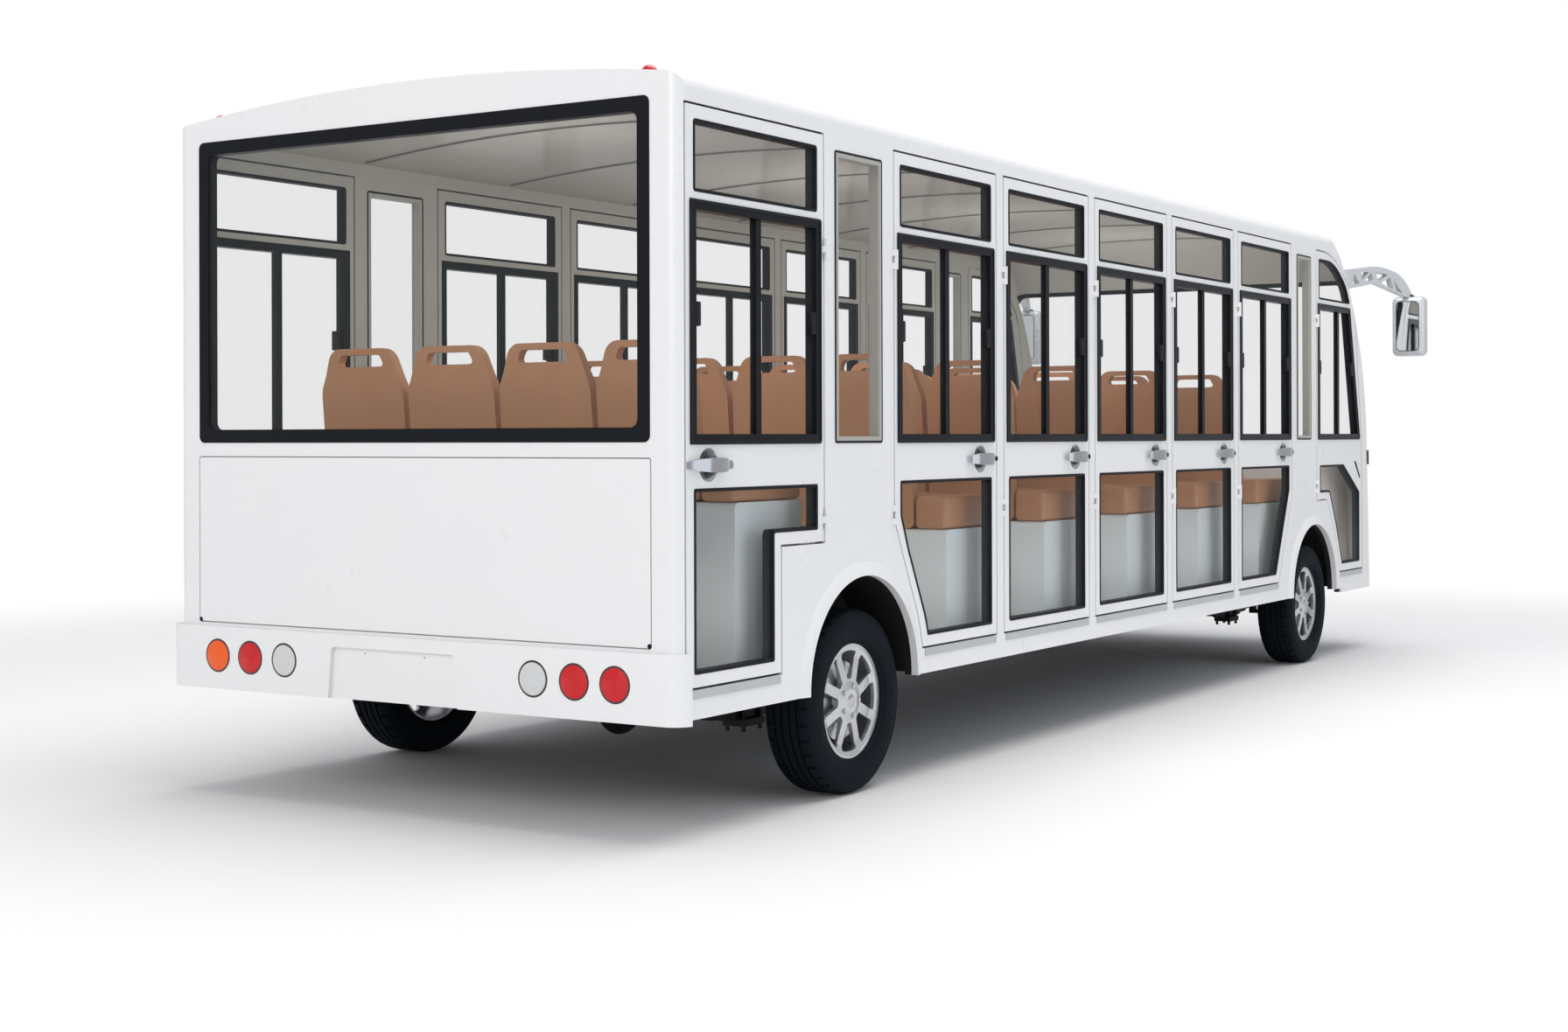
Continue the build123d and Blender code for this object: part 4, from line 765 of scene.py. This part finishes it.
def filled_outline(loops, to_place):
    """Flat sheet filled between an outline and its holes."""
    edit = bmesh.new()
    for loop in loops:
        part = bmesh.new()
        rounded_face(part, loop, to_place)
        bmesh.ops.delete(part, geom=part.faces[:], context="FACES_ONLY")
        join(edit, part)
    bmesh.ops.triangle_fill(edit, use_beauty=True, use_dissolve=False, edges=edit.edges[:])
    return edit


def plate_with_holes(loops, to_place, thickness):
    edit = filled_outline(loops, to_place)
    bmesh.ops.translate(edit, vec=thickness, verts=extruded(edit))
    return edit


def side_ring(points, width, reach, depth):
    """Frame along an outline on the right-hand side: width inwards, from reach depth inwards."""
    edit = bmesh.new()
    faces = rounded_face(edit, points, lambda a, b: place(a, -reach, b))
    edit.normal_update()
    bmesh.ops.inset_region(
        edit, faces=faces, thickness=width, use_even_offset=True, use_boundary=True
    )
    bmesh.ops.delete(edit, geom=faces, context="FACES")
    bmesh.ops.translate(edit, vec=(depth, 0, 0), verts=extruded(edit))
    return edit


def block(low, high):
    """Upright block between two corners given ahead, left and up."""
    edit = bmesh.new()
    bmesh.ops.create_cube(edit, size=1.0)
    size = [high[1] - low[1], high[0] - low[0], high[2] - low[2]]
    bmesh.ops.scale(edit, vec=size, verts=edit.verts)
    middle = place((low[0] + high[0]) / 2, (low[1] + high[1]) / 2, (low[2] + high[2]) / 2)
    bmesh.ops.translate(edit, vec=middle, verts=edit.verts)
    return edit


def soft_block(low, high, rounding, segments=3):
    edit = block(low, high)
    round_edges(edit, rounding, segments)
    return edit


def lathe(profile, centre, axis, steps):
    """Ring or disc spun about an axis through a centre; the profile is (along, radius)."""
    edit = bmesh.new()
    axis = Vector(axis).normalized()
    out = axis.orthogonal().normalized()
    line = [edit.verts.new(Vector(centre) + axis * a + out * r) for a, r in profile]
    for first, second in zip(line, line[1:]):
        edit.edges.new((first, second))
    bmesh.ops.spin(
        edit,
        geom=edit.verts[:] + edit.edges[:],
        cent=centre,
        axis=axis,
        dvec=(0, 0, 0),
        angle=2 * math.pi,
        steps=steps,
        use_merge=True,
        use_duplicate=False,
    )
    bmesh.ops.remove_doubles(edit, verts=edit.verts, dist=1e-6)
    return edit


# Door trim: a gasket round each pane, black strips of painted shade in the gaps round each door,
# sash rails with their latches, and key caps
MULLION_SHARE = 0.52
LATCH_HEIGHT = 1.545
LATCH_INSET = 0.040
LATCH_HALF_WIDTH = 0.017
LATCH_HALF_HEIGHT = 0.036
# How far the front doors' sash edge leans back for each metre of height
SASH_LEAN = 0.2507
PANE_BAR_HALF = 0.006
PANE_BAR_DEPTH = 0.009
GASKET_REACH = HALF_WIDTH + 0.0012
GASKET_DEPTH = 0.0385
# Strips of painted shade in the door gaps: their height, the feet of the low and top ones, and the
# step ones as (first, last, foot)
SHADE_STRIP_HEIGHT = 0.005
LOW_SHADE_STRIP = 0.4508
TOP_SHADE_STRIP = 2.1522
STEP_SHADE_STRIPS = {"rear": (0.555, 0.800, 0.8520), "front": (5.826, 5.976, 0.8510)}
KEY_AHEAD_OF_GRIP = 0.098
KEY_PROFILE = [(0.0, 0.0), (0.0, 0.0085), (0.0022, 0.0105), (0.0022, 0.004), (-0.001, 0.003)]
DOORS_WITH_KEYS = ("1", "2", "3", "4", "5")


def pane_seals_and_gap_shade(row):
    """A gasket round each pane, and thin black strips in the gaps round the door and its step:
    painted shade in those gaps.
    """
    seals = side_ring(row["transom"], 0.010, GASKET_REACH, GASKET_DEPTH)
    join(seals, side_ring(row["lower"], 0.0105, GASKET_REACH, GASKET_DEPTH))
    shade_strips = [(*row["shade_strip_span"], LOW_SHADE_STRIP)]
    if row["name"] != "front":
        start, end = row["span"]
        shade_strips.append((start + 0.006, end - 0.006, TOP_SHADE_STRIP))
    if row["name"] in STEP_SHADE_STRIPS:
        shade_strips.append(STEP_SHADE_STRIPS[row["name"]])
    for first, last, foot in shade_strips:
        low = (first, -HALF_WIDTH + 0.003, foot)
        join(seals, block(low, (last, -HALF_WIDTH + 0.020, foot + SHADE_STRIP_HEIGHT)))
    return seals


def pane_bar(middle, depth):
    """Thin upright edge of a sliding pane."""
    outer = -HALF_WIDTH + depth
    low = (middle - PANE_BAR_HALF, outer, SASH_FOOT + 0.028)
    high = (middle + PANE_BAR_HALF, outer + PANE_BAR_DEPTH, SASH_HEAD - 0.028)
    return soft_block(low, high, 0.0015, 1)


def latch(ahead):
    """Latch on an outer bar of the sash, which reaches over the glass."""
    low = (ahead - LATCH_HALF_WIDTH, -HALF_WIDTH - 0.003, LATCH_HEIGHT - LATCH_HALF_HEIGHT)
    high = (ahead + LATCH_HALF_WIDTH, -HALF_WIDTH + 0.017, LATCH_HEIGHT + LATCH_HALF_HEIGHT)
    return soft_block(low, high, 0.004, 2)


def sash_trim(row):
    """Rails round the sash, the edges of its two sliding panes and its two latches."""
    rails = side_ring(row["frame"], 0.009, HALF_WIDTH + 0.0062, 0.006)
    start, end = row["span"]
    mullion = start + (end - start) * MULLION_SHARE
    join(rails, pane_bar(mullion - 0.005, 0.018))
    join(rails, pane_bar(mullion + 0.005, 0.010))
    first, last = row["sash"]
    if row["name"] == "front":
        last = SASH_END - (LATCH_HEIGHT - SASH_FOOT) * SASH_LEAN
    join(rails, latch(first + LATCH_INSET))
    join(rails, latch(last - LATCH_INSET))
    return rails


def key_cap(row):
    spot = place(row["grip"] + KEY_AHEAD_OF_GRIP, -HALF_WIDTH - 0.0158, HANDLE_HEIGHT)
    return lathe(KEY_PROFILE, spot, (-1, 0, 0), 24)


for row in doors:
    for side in SIDES:
        door = "door_" + side + "_" + row["name"]
        # The first piece holds the pane gasket and the door's strips of painted gap shade
        trims = [("gaskets_and_gap_shade", pane_seals_and_gap_shade(row), rubber), ("sash_trim", sash_trim(row), trim_black)]
        if row["name"] in DOORS_WITH_KEYS:
            trims.append(("key_cap", key_cap(row), trim_black))
        for label, edit, finish in trims:
            if side == "left":
                edit = mirror_mesh(edit)
            piece(edit, door + "_" + label, door + "_body", finish, 30)

# Seats: grained cushions and backs with a grab slot, in the places of the frame's seats
# Columns: start of the row, lift over the other rows, middles of its seats
SEAT_ROWS = [(0.448, 0.138, (-0.6, -0.2, 0.2, 0.6))]
SEAT_ROWS += [(1.850 + DOOR_PITCH * n, 0.0, (-0.6, -0.2, 0.2, 0.6)) for n in range(4)]
SEAT_ROWS.append((5.214, 0.0, (-0.6, -0.2, 0.56)))
DRIVER_ROW = 5
BASE_HEAD = 0.844
BACK_HEAD = 1.494
SEAT_HALF = 0.191
SHOULDER = 1.345
THIN_HEAD = 1.40
CUSHION_DEPTH = 0.385
CUSHION_MIDDLE = 0.2555


def back_depth(up, foot):
    """How far ahead of a row's start the middle of a back lies at a height."""
    share = (up - foot) / (BACK_HEAD - foot)
    return 0.031 - 0.046 * share**1.25


def seat_back(foot):
    """Moulded back: shoulders, a grab slot under the head, a raised border and a hollow front."""
    outer = [
        (-SEAT_HALF, foot + 0.001, 0.03),
        (SEAT_HALF, foot + 0.001, 0.03),
        (SEAT_HALF - 0.003, SHOULDER, 0.10),
        (SEAT_HALF - 0.057, BACK_HEAD, 0.055),
        (0.057 - SEAT_HALF, BACK_HEAD, 0.055),
        (0.003 - SEAT_HALF, SHOULDER, 0.10),
    ]
    slot = [(-0.110, 1.431), (0.110, 1.431), (0.088, 1.472), (-0.088, 1.472)]
    slot = [(across, up, 0.014) for across, up in slot]
    edit = filled_outline((outer, slot), lambda a, b: Vector((a, 0, b)))
    for height in [foot + 0.06 * n for n in range(1, 12)]:
        if height < 1.42:
            cut(edit, (0, 0, height), (0, 0, 1))
    for across in (-0.15, -0.08, 0.0, 0.08, 0.15):
        cut(edit, (across, 0, 0), (1, 0, 0))
    front_verts = set(extruded(edit))
    for vert in edit.verts:
        width = vert.co.x
        up = vert.co.z
        middle = back_depth(up, foot)
        thick = 0.021 if up < THIN_HEAD else 0.017
        hollow = 0.010 * max(0.0, 1 - (width / 0.165) ** 2) * (1.0 if up < THIN_HEAD else 0.3)
        if vert in front_verts:
            vert.co.y = -(middle + thick - hollow)
        else:
            vert.co.y = -(middle - thick - hollow * 0.5)
    return edit


def seat_cushion(foot):
    """Crowned cushion with a rolled front edge."""
    edit = bmesh.new()
    bmesh.ops.create_cube(edit, size=1.0)
    bmesh.ops.scale(edit, vec=(2 * SEAT_HALF, CUSHION_DEPTH, 0.118), verts=edit.verts)
    bmesh.ops.translate(edit, vec=(0, -CUSHION_MIDDLE, foot + 0.060), verts=edit.verts)
    round_edges(edit, 0.026, 3)
    for across in (-0.13, -0.065, 0.0, 0.065, 0.13):
        cut(edit, (across, 0, 0), (1, 0, 0))
    for along in (-0.12, -0.20, -0.28, -0.36):
        cut(edit, (0, along, 0), (0, 1, 0))
    for vert in edit.verts:
        if vert.co.z > foot + 0.09:
            crown = max(0.0, 1 - (vert.co.x / SEAT_HALF) ** 2)
            run = (vert.co.y + CUSHION_MIDDLE) / (CUSHION_DEPTH / 2)
            vert.co.z += 0.012 * crown * max(0.0, 1 - run**2) - 0.010 * max(0.0, -run) ** 3
    return edit


for number, (start, lift, middles) in enumerate(SEAT_ROWS):
    foot = BASE_HEAD + lift
    backs = bmesh.new()
    cushions = bmesh.new()
    for middle in middles:
        shift = place(start, middle, 0)
        for store, part in ((backs, seat_back(foot)), (cushions, seat_cushion(foot))):
            bmesh.ops.translate(part, vec=shift, verts=part.verts)
            join(store, part)
    # Padded bench ends beside the outer seats, level with the ends of the base; the driver's
    # seat stands further in
    for inner, outer in ((-0.926, -0.796), (0.796, 0.926)):
        if number == DRIVER_ROW and inner > 0:
            inner = 0.756
        low = (start + 0.003, inner, foot + 0.001)
        join(cushions, soft_block(low, (start + 0.400, outer, foot + 0.122), 0.018))
    row_name = "seat_row_" + str(number + 1)
    tan = seat_tan.material
    back_piece = piece(backs, row_name + "_backs", "bus_body", tan, 50, 0.005)
    pads = piece(cushions, row_name + "_cushions", "bus_body", tan, 60)
    for soft_piece in (back_piece, pads):
        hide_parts("seats")

# Tyres with grooves round the tread, and nuts and a cap on each wheel
TREAD_RADIUS = 0.3074
GROOVES = (-0.042, -0.0145, 0.0145, 0.042)


def tyre_profile():
    """Section from the inner bead over the tread to the outer bead."""
    half = [
        (0.070, 0.1905),
        (0.0775, 0.196),
        (0.082, 0.203),
        (0.0842, 0.207),
        (0.0855, 0.2065),
        (0.0885, 0.217),
        (0.0912, 0.231),
        (0.0922, 0.246),
        (0.0908, 0.262),
        (0.0885, 0.2745),
        (0.0895, 0.2765),
        (0.0865, 0.281),
        (0.0835, 0.2905),
        (0.0775, 0.2985),
        (0.069, 0.3035),
        (0.058, TREAD_RADIUS - 0.0008),
    ]
    line = [(-a, r) for a, r in half]
    for groove in GROOVES:
        line += [
            (groove - 0.0045, TREAD_RADIUS),
            (groove - 0.0034, TREAD_RADIUS - 0.0075),
            (groove + 0.0034, TREAD_RADIUS - 0.0075),
            (groove + 0.0045, TREAD_RADIUS),
        ]
    line += [(a, r) for a, r in reversed(half)]
    return line


def sipes(edit, centre, steps):
    """Sinks one face row in four across the shoulders of a tyre."""
    sunk = []
    for face in edit.faces:
        middle = face.calc_center_median() - centre
        radius = math.hypot(middle.y, middle.z)
        across = abs(middle.x)
        turn = (math.atan2(middle.z, middle.y) / (2 * math.pi) * steps) % 4
        if radius > 0.2965 and 0.046 < across and turn < 1:
            sunk.append(face)
    bmesh.ops.inset_individual(edit, faces=sunk, thickness=0.0008, depth=-0.004)


TYRE_STEPS = 144
CAP_PROFILE = [(0.069, 0.0), (0.069, 0.020), (0.066, 0.028), (0.058, 0.030)]
NUT_PROFILE = [(-0.01, 0.0095), (0.009, 0.0095), (0.012, 0.007), (0.012, 0.0)]
NUTS = 5
NUT_CIRCLE = 0.050
for axle, ahead in (("rear", REAR_AXLE), ("front", FRONT_AXLE)):
    for side, sign in SIDES.items():
        centre = place(ahead, sign * WHEEL_PLANE, HUB_HEIGHT)
        tyre = lathe(tyre_profile(), centre, (1, 0, 0), TYRE_STEPS)
        bmesh.ops.recalc_face_normals(tyre, faces=tyre.faces)
        sipes(tyre, centre, TYRE_STEPS)
        body = "wheel_" + axle + "_" + side
        tyre_piece = piece(tyre, "road_tyre_" + axle + "_" + side, body, tyre_black, 35)
        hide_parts("tyre_" + axle + "_" + side)
        outward = Vector((sign, 0, 0))
        trim = lathe(CAP_PROFILE, centre, outward, 48)
        for number in range(NUTS):
            angle = 2 * math.pi * (number + 0.5) / NUTS
            across = Vector((0, math.cos(angle), math.sin(angle)))
            spot = centre + outward * 0.060 + across * NUT_CIRCLE
            join(trim, lathe(NUT_PROFILE, spot, outward, 6))
        piece(trim, "wheel_trim_" + axle + "_" + side, body, chrome_bright.material, 30)

# Mirrors: openwork arm plates, rounded heads, their glass and the dark joint between
ARM_START = (6.395, 0.985)
ARM_AHEAD, ARM_ASIDE = Vector((0.620, 0.205)).normalized()
ARM_HALF_THICK = 0.017
HEAD_LOW = (6.967, -1.282, 1.634)
HEAD_HIGH = (7.063, -1.098, 1.970)
GLASS_STAND = 0.002
# Columns: run along the arm, up, rounding
arm_outline = [
    (0.042, 1.988, 0),
    (0.042, 2.094, 0),
    (0.345, 2.132, 0.60),
    (0.560, 2.085, 0.30),
    (0.668, 1.963, 0.01),
    (0.612, 1.963, 0.02),
    (0.300, 2.030, 0.10),
]
arm_holes = [
    ((0.085, 2.010), (0.152, 2.024), (0.100, 2.080)),
    ((0.190, 2.034), (0.280, 2.048), (0.262, 2.088)),
    ((0.172, 2.032), (0.168, 2.084), (0.240, 2.092)),
    ((0.330, 2.040), (0.300, 2.092), (0.420, 2.084)),
    ((0.350, 2.034), (0.470, 2.004), (0.440, 2.072)),
    ((0.500, 1.998), (0.560, 1.984), (0.470, 2.060)),
]
arm_holes = [[(run, up, 0.004) for run, up in hole] for hole in arm_holes]


def arm_point(run, up):
    return place(ARM_START[0] + run * ARM_AHEAD, -(ARM_START[1] + run * ARM_ASIDE), up)


def head_rectangle(margin, rounding):
    """Rounded outline on the mirror head's back, in from its edge by a margin."""
    low_left, high_left = HEAD_LOW[1] + margin, HEAD_HIGH[1] - margin
    low_up, high_up = HEAD_LOW[2] + margin, HEAD_HIGH[2] - margin
    corners = ((low_left, low_up), (high_left, low_up), (high_left, high_up), (low_left, high_up))
    return [(left, up, rounding) for left, up in corners]


def head_point(left, up):
    """A point just behind the back of the mirror head, where its glass lies."""
    return place(HEAD_LOW[0] - GLASS_STAND, left, up)


across_arm = Vector((ARM_AHEAD, -ARM_ASIDE, 0)) * 2 * ARM_HALF_THICK
arm = plate_with_holes([arm_outline] + arm_holes, arm_point, across_arm)
bmesh.ops.translate(arm, vec=-across_arm / 2, verts=arm.verts)
join(arm, soft_block(HEAD_LOW, HEAD_HIGH, 0.030, 5))
join(arm, mirror_mesh(arm))
shell = mirror_shell.material
mirror_piece = piece(arm, "mirror_arms_and_heads", "bus_body", shell, 35, 0.002)
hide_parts("mirrors")
glass = plate_with_holes([head_rectangle(0.031, 0.022)], head_point, (0, -0.003, 0))
join(glass, mirror_mesh(glass))
piece(glass, "mirror_glasses", "bus_body", mirror_face.material, 30)
seal = plate_with_holes(
    [head_rectangle(0.0275, 0.026), head_rectangle(0.0308, 0.022)], head_point, (0, -0.004, 0)
)
join(seal, soft_block((6.988, -1.212, 1.962), (7.034, -1.160, 1.980), 0.004))
join(seal, mirror_mesh(seal))
piece(seal, "mirror_seals_and_joints", "bus_body", rubber, 30)

# Black plates of painted shade in the finger slits at the free edges of the front doors
SLIT_SHADE = ((6.462, 1.046, 0.004), (6.496, 1.042, 0.020), (6.568, 0.962, 0.010), (6.565, 0.945, 0.003))
for side in SIDES:
    slit = plate_with_holes([SLIT_SHADE], lambda a, b: place(a, -HALF_WIDTH - 0.0014, b), (0.004, 0, 0))
    if side == "left":
        slit = mirror_mesh(slit)
    front_door = "door_" + side + "_front"
    piece(slit, front_door + "_finger_slit_shade", front_door + "_body", trim_black, 30)

# Ceiling seams across the cabin
CEILING_TOP = 2.267
CEILING_SAG = 0.065
CEILING_RADIUS = (HALF_WIDTH**2 + CEILING_SAG**2) / (2 * CEILING_SAG)
SEAMS = 7
FIRST_SEAM = 0.84
seams = bmesh.new()
for number in range(SEAMS):
    ahead = FIRST_SEAM + number * DOOR_PITCH
    strip = bmesh.new()
    bmesh.ops.create_grid(strip, x_segments=24, y_segments=1, size=1.0)
    bmesh.ops.scale(strip, vec=(0.965, 0.006, 1), verts=strip.verts)
    for vert in strip.verts:
        drop = CEILING_RADIUS - math.sqrt(CEILING_RADIUS**2 - vert.co.x**2)
        vert.co.z = CEILING_TOP - drop - 0.0012
    bmesh.ops.translate(strip, vec=(0, 0, -0.004), verts=extruded(strip))
    bmesh.ops.translate(strip, vec=place(ahead, 0, 0), verts=strip.verts)
    join(seams, strip)
piece(seams, "ceiling_seams", "bus_body", cabin_vinyl.material, 30)

# Screw heads at the lower corners of the rear cover
SCREW_PROFILE = [(0.0, 0.0), (0.0, 0.004), (-0.001, 0.0075), (-0.003, 0.0085)]
screws = bmesh.new()
for left in (-0.928, 0.928):
    spot = Vector((left, REAR_FACE + 0.0016, 0.577))
    join(screws, lathe(SCREW_PROFILE, spot, (0, 1, 0), 20))
piece(screws, "cover_screws", "bus_body", trim_black, 30)

# Floor, backdrop, lamps and camera
FLOOR_GREY = (0.80, 0.80, 0.80)
PURE_WHITE = (1, 1, 1, 1)
floor_finish = Finish("studio_floor", FLOOR_GREY, 0.9)
floor_finish.colour(floor_finish.blend(floor_finish.noise(0.3), FLOOR_GREY, (0.81, 0.81, 0.815)))
floor_edit = bmesh.new()
bmesh.ops.create_grid(floor_edit, x_segments=1, y_segments=1, size=60.0)
mesh_object(floor_edit, "studio_floor", floor_finish.material)

# The floor shows as the white backdrop to the camera away from the bus, and keeps its shadow
tree = floor_finish.tree
output = tree.nodes["Material Output"]
path = tree.nodes.new("ShaderNodeLightPath")
glow = tree.nodes.new("ShaderNodeEmission")
glow.inputs["Color"].default_value = PURE_WHITE
glow.inputs["Strength"].default_value = 1.0
mix = tree.nodes.new("ShaderNodeMixShader")
length = tree.nodes.new("ShaderNodeVectorMath")
length.operation = "LENGTH"
tree.links.new(floor_finish.object_point, length.inputs[0])
far = tree.nodes.new("ShaderNodeMapRange")
far.interpolation_type = "SMOOTHSTEP"
far.inputs["From Min"].default_value = 4.0
far.inputs["From Max"].default_value = 8.5
tree.links.new(length.outputs["Value"], far.inputs["Value"])
seen = floor_finish.calc("MULTIPLY", path.outputs["Is Camera Ray"], far.outputs[0])
tree.links.new(seen, mix.inputs[0])
tree.links.new(floor_finish.shader.outputs[0], mix.inputs[1])
tree.links.new(glow.outputs[0], mix.inputs[2])
tree.links.new(mix.outputs[0], output.inputs["Surface"])

world = bpy.data.worlds.new("studio")
bpy.context.scene.world = world
world.use_nodes = True
sky = world.node_tree
background = sky.nodes["Background"]
background.inputs["Color"].default_value = (0.95, 0.965, 1.0, 1)
background.inputs["Strength"].default_value = 0.60
white = sky.nodes.new("ShaderNodeBackground")
white.inputs["Color"].default_value = PURE_WHITE
white.inputs["Strength"].default_value = 1.0
rays = sky.nodes.new("ShaderNodeLightPath")
shown = sky.nodes.new("ShaderNodeMath")
shown.operation = "MAXIMUM"
choice = sky.nodes.new("ShaderNodeMixShader")
for source, target in (
    (rays.outputs["Is Camera Ray"], shown.inputs[0]),
    (rays.outputs["Is Transmission Ray"], shown.inputs[1]),
    (shown.outputs[0], choice.inputs[0]),
    (background.outputs[0], choice.inputs[1]),
    (white.outputs[0], choice.inputs[2]),
    (choice.outputs[0], sky.nodes["World Output"].inputs["Surface"]),
):
    sky.links.new(source, target)


def studio_lamp(name, kind, spot, power, colour):
    data = bpy.data.lights.new(name, kind)
    data.energy = power
    data.color = colour
    item = bpy.data.objects.new(name, data)
    item.location = spot
    bpy.context.scene.collection.objects.link(item)
    return item


LAMPS_AIM = Vector((0, 0.5, 0.8))
# Columns: name, place, size, power, colour
for name, spot, size, power, shade in (
    ("overhead", (-1.0, 0.5, 9.0), 9.0, 700, (1.0, 0.99, 0.975)),
    ("rear_fill", (-1.0, 12.0, 5.0), 7.0, 330, (1.0, 0.985, 0.955)),
    ("side_fill", (-11.0, 0.5, 3.0), 9.0, 150, (0.86, 0.93, 1.0)),
):
    lamp = studio_lamp(name, "AREA", spot, power, shade)
    lamp.data.shape = "DISK"
    lamp.data.size = size
    aim = LAMPS_AIM - Vector(spot)
    lamp.rotation_mode = "QUATERNION"
    lamp.rotation_quaternion = aim.to_track_quat("-Z", "Y")

# Light that the roof's underside and the seats get from all round, without spots in the glass
CABIN_LIGHT = (1.0, 0.99, 0.965)
# Columns: ahead, left, up, size, power
cabin_lamps = [(ahead, 0, 1.78, 0.45, 12) for ahead in (0.9, 2.5, 4.1, 5.6)]
cabin_lamps += [(6.30, left, 0.60, 0.12, 9.0) for left in (-0.80, 0.80)]
for start, _, _ in SEAT_ROWS:
    cabin_lamps += [(start - 0.24, left, 0.66, 0.12, 0.55) for left in (-0.82, 0.82)]
for number, (ahead, left, up, size, power) in enumerate(cabin_lamps):
    name = "cabin_fill_" + str(number + 1)
    lamp = studio_lamp(name, "POINT", place(ahead, left, up), power, CABIN_LIGHT)
    lamp.data.shadow_soft_size = size
    lamp.data.specular_factor = 0
    lamp.visible_camera = False
    lamp.visible_glossy = False
    lamp.visible_transmission = False

# Camera, worked out from the photo's vanishing lines
camera_data = bpy.data.cameras.new("camera")
camera_data.sensor_width = 36.0
camera_data.lens = 48.16
camera_data.shift_y = -0.0503
camera_data.clip_end = 200
camera = bpy.data.objects.new("camera", camera_data)
camera.location = (-4.487, REAR_FACE + 4.9512, 1.1842)
camera.rotation_mode = "QUATERNION"
look = Vector((0.5303, -0.8478, 0.0))
roll = Matrix.Rotation(math.radians(0.157), 3, look.normalized())
camera.rotation_quaternion = roll.to_quaternion() @ look.to_track_quat("-Z", "Y")
bpy.context.scene.collection.objects.link(camera)
bpy.context.scene.camera = camera
bpy.context.scene.view_settings.view_transform = "Standard"
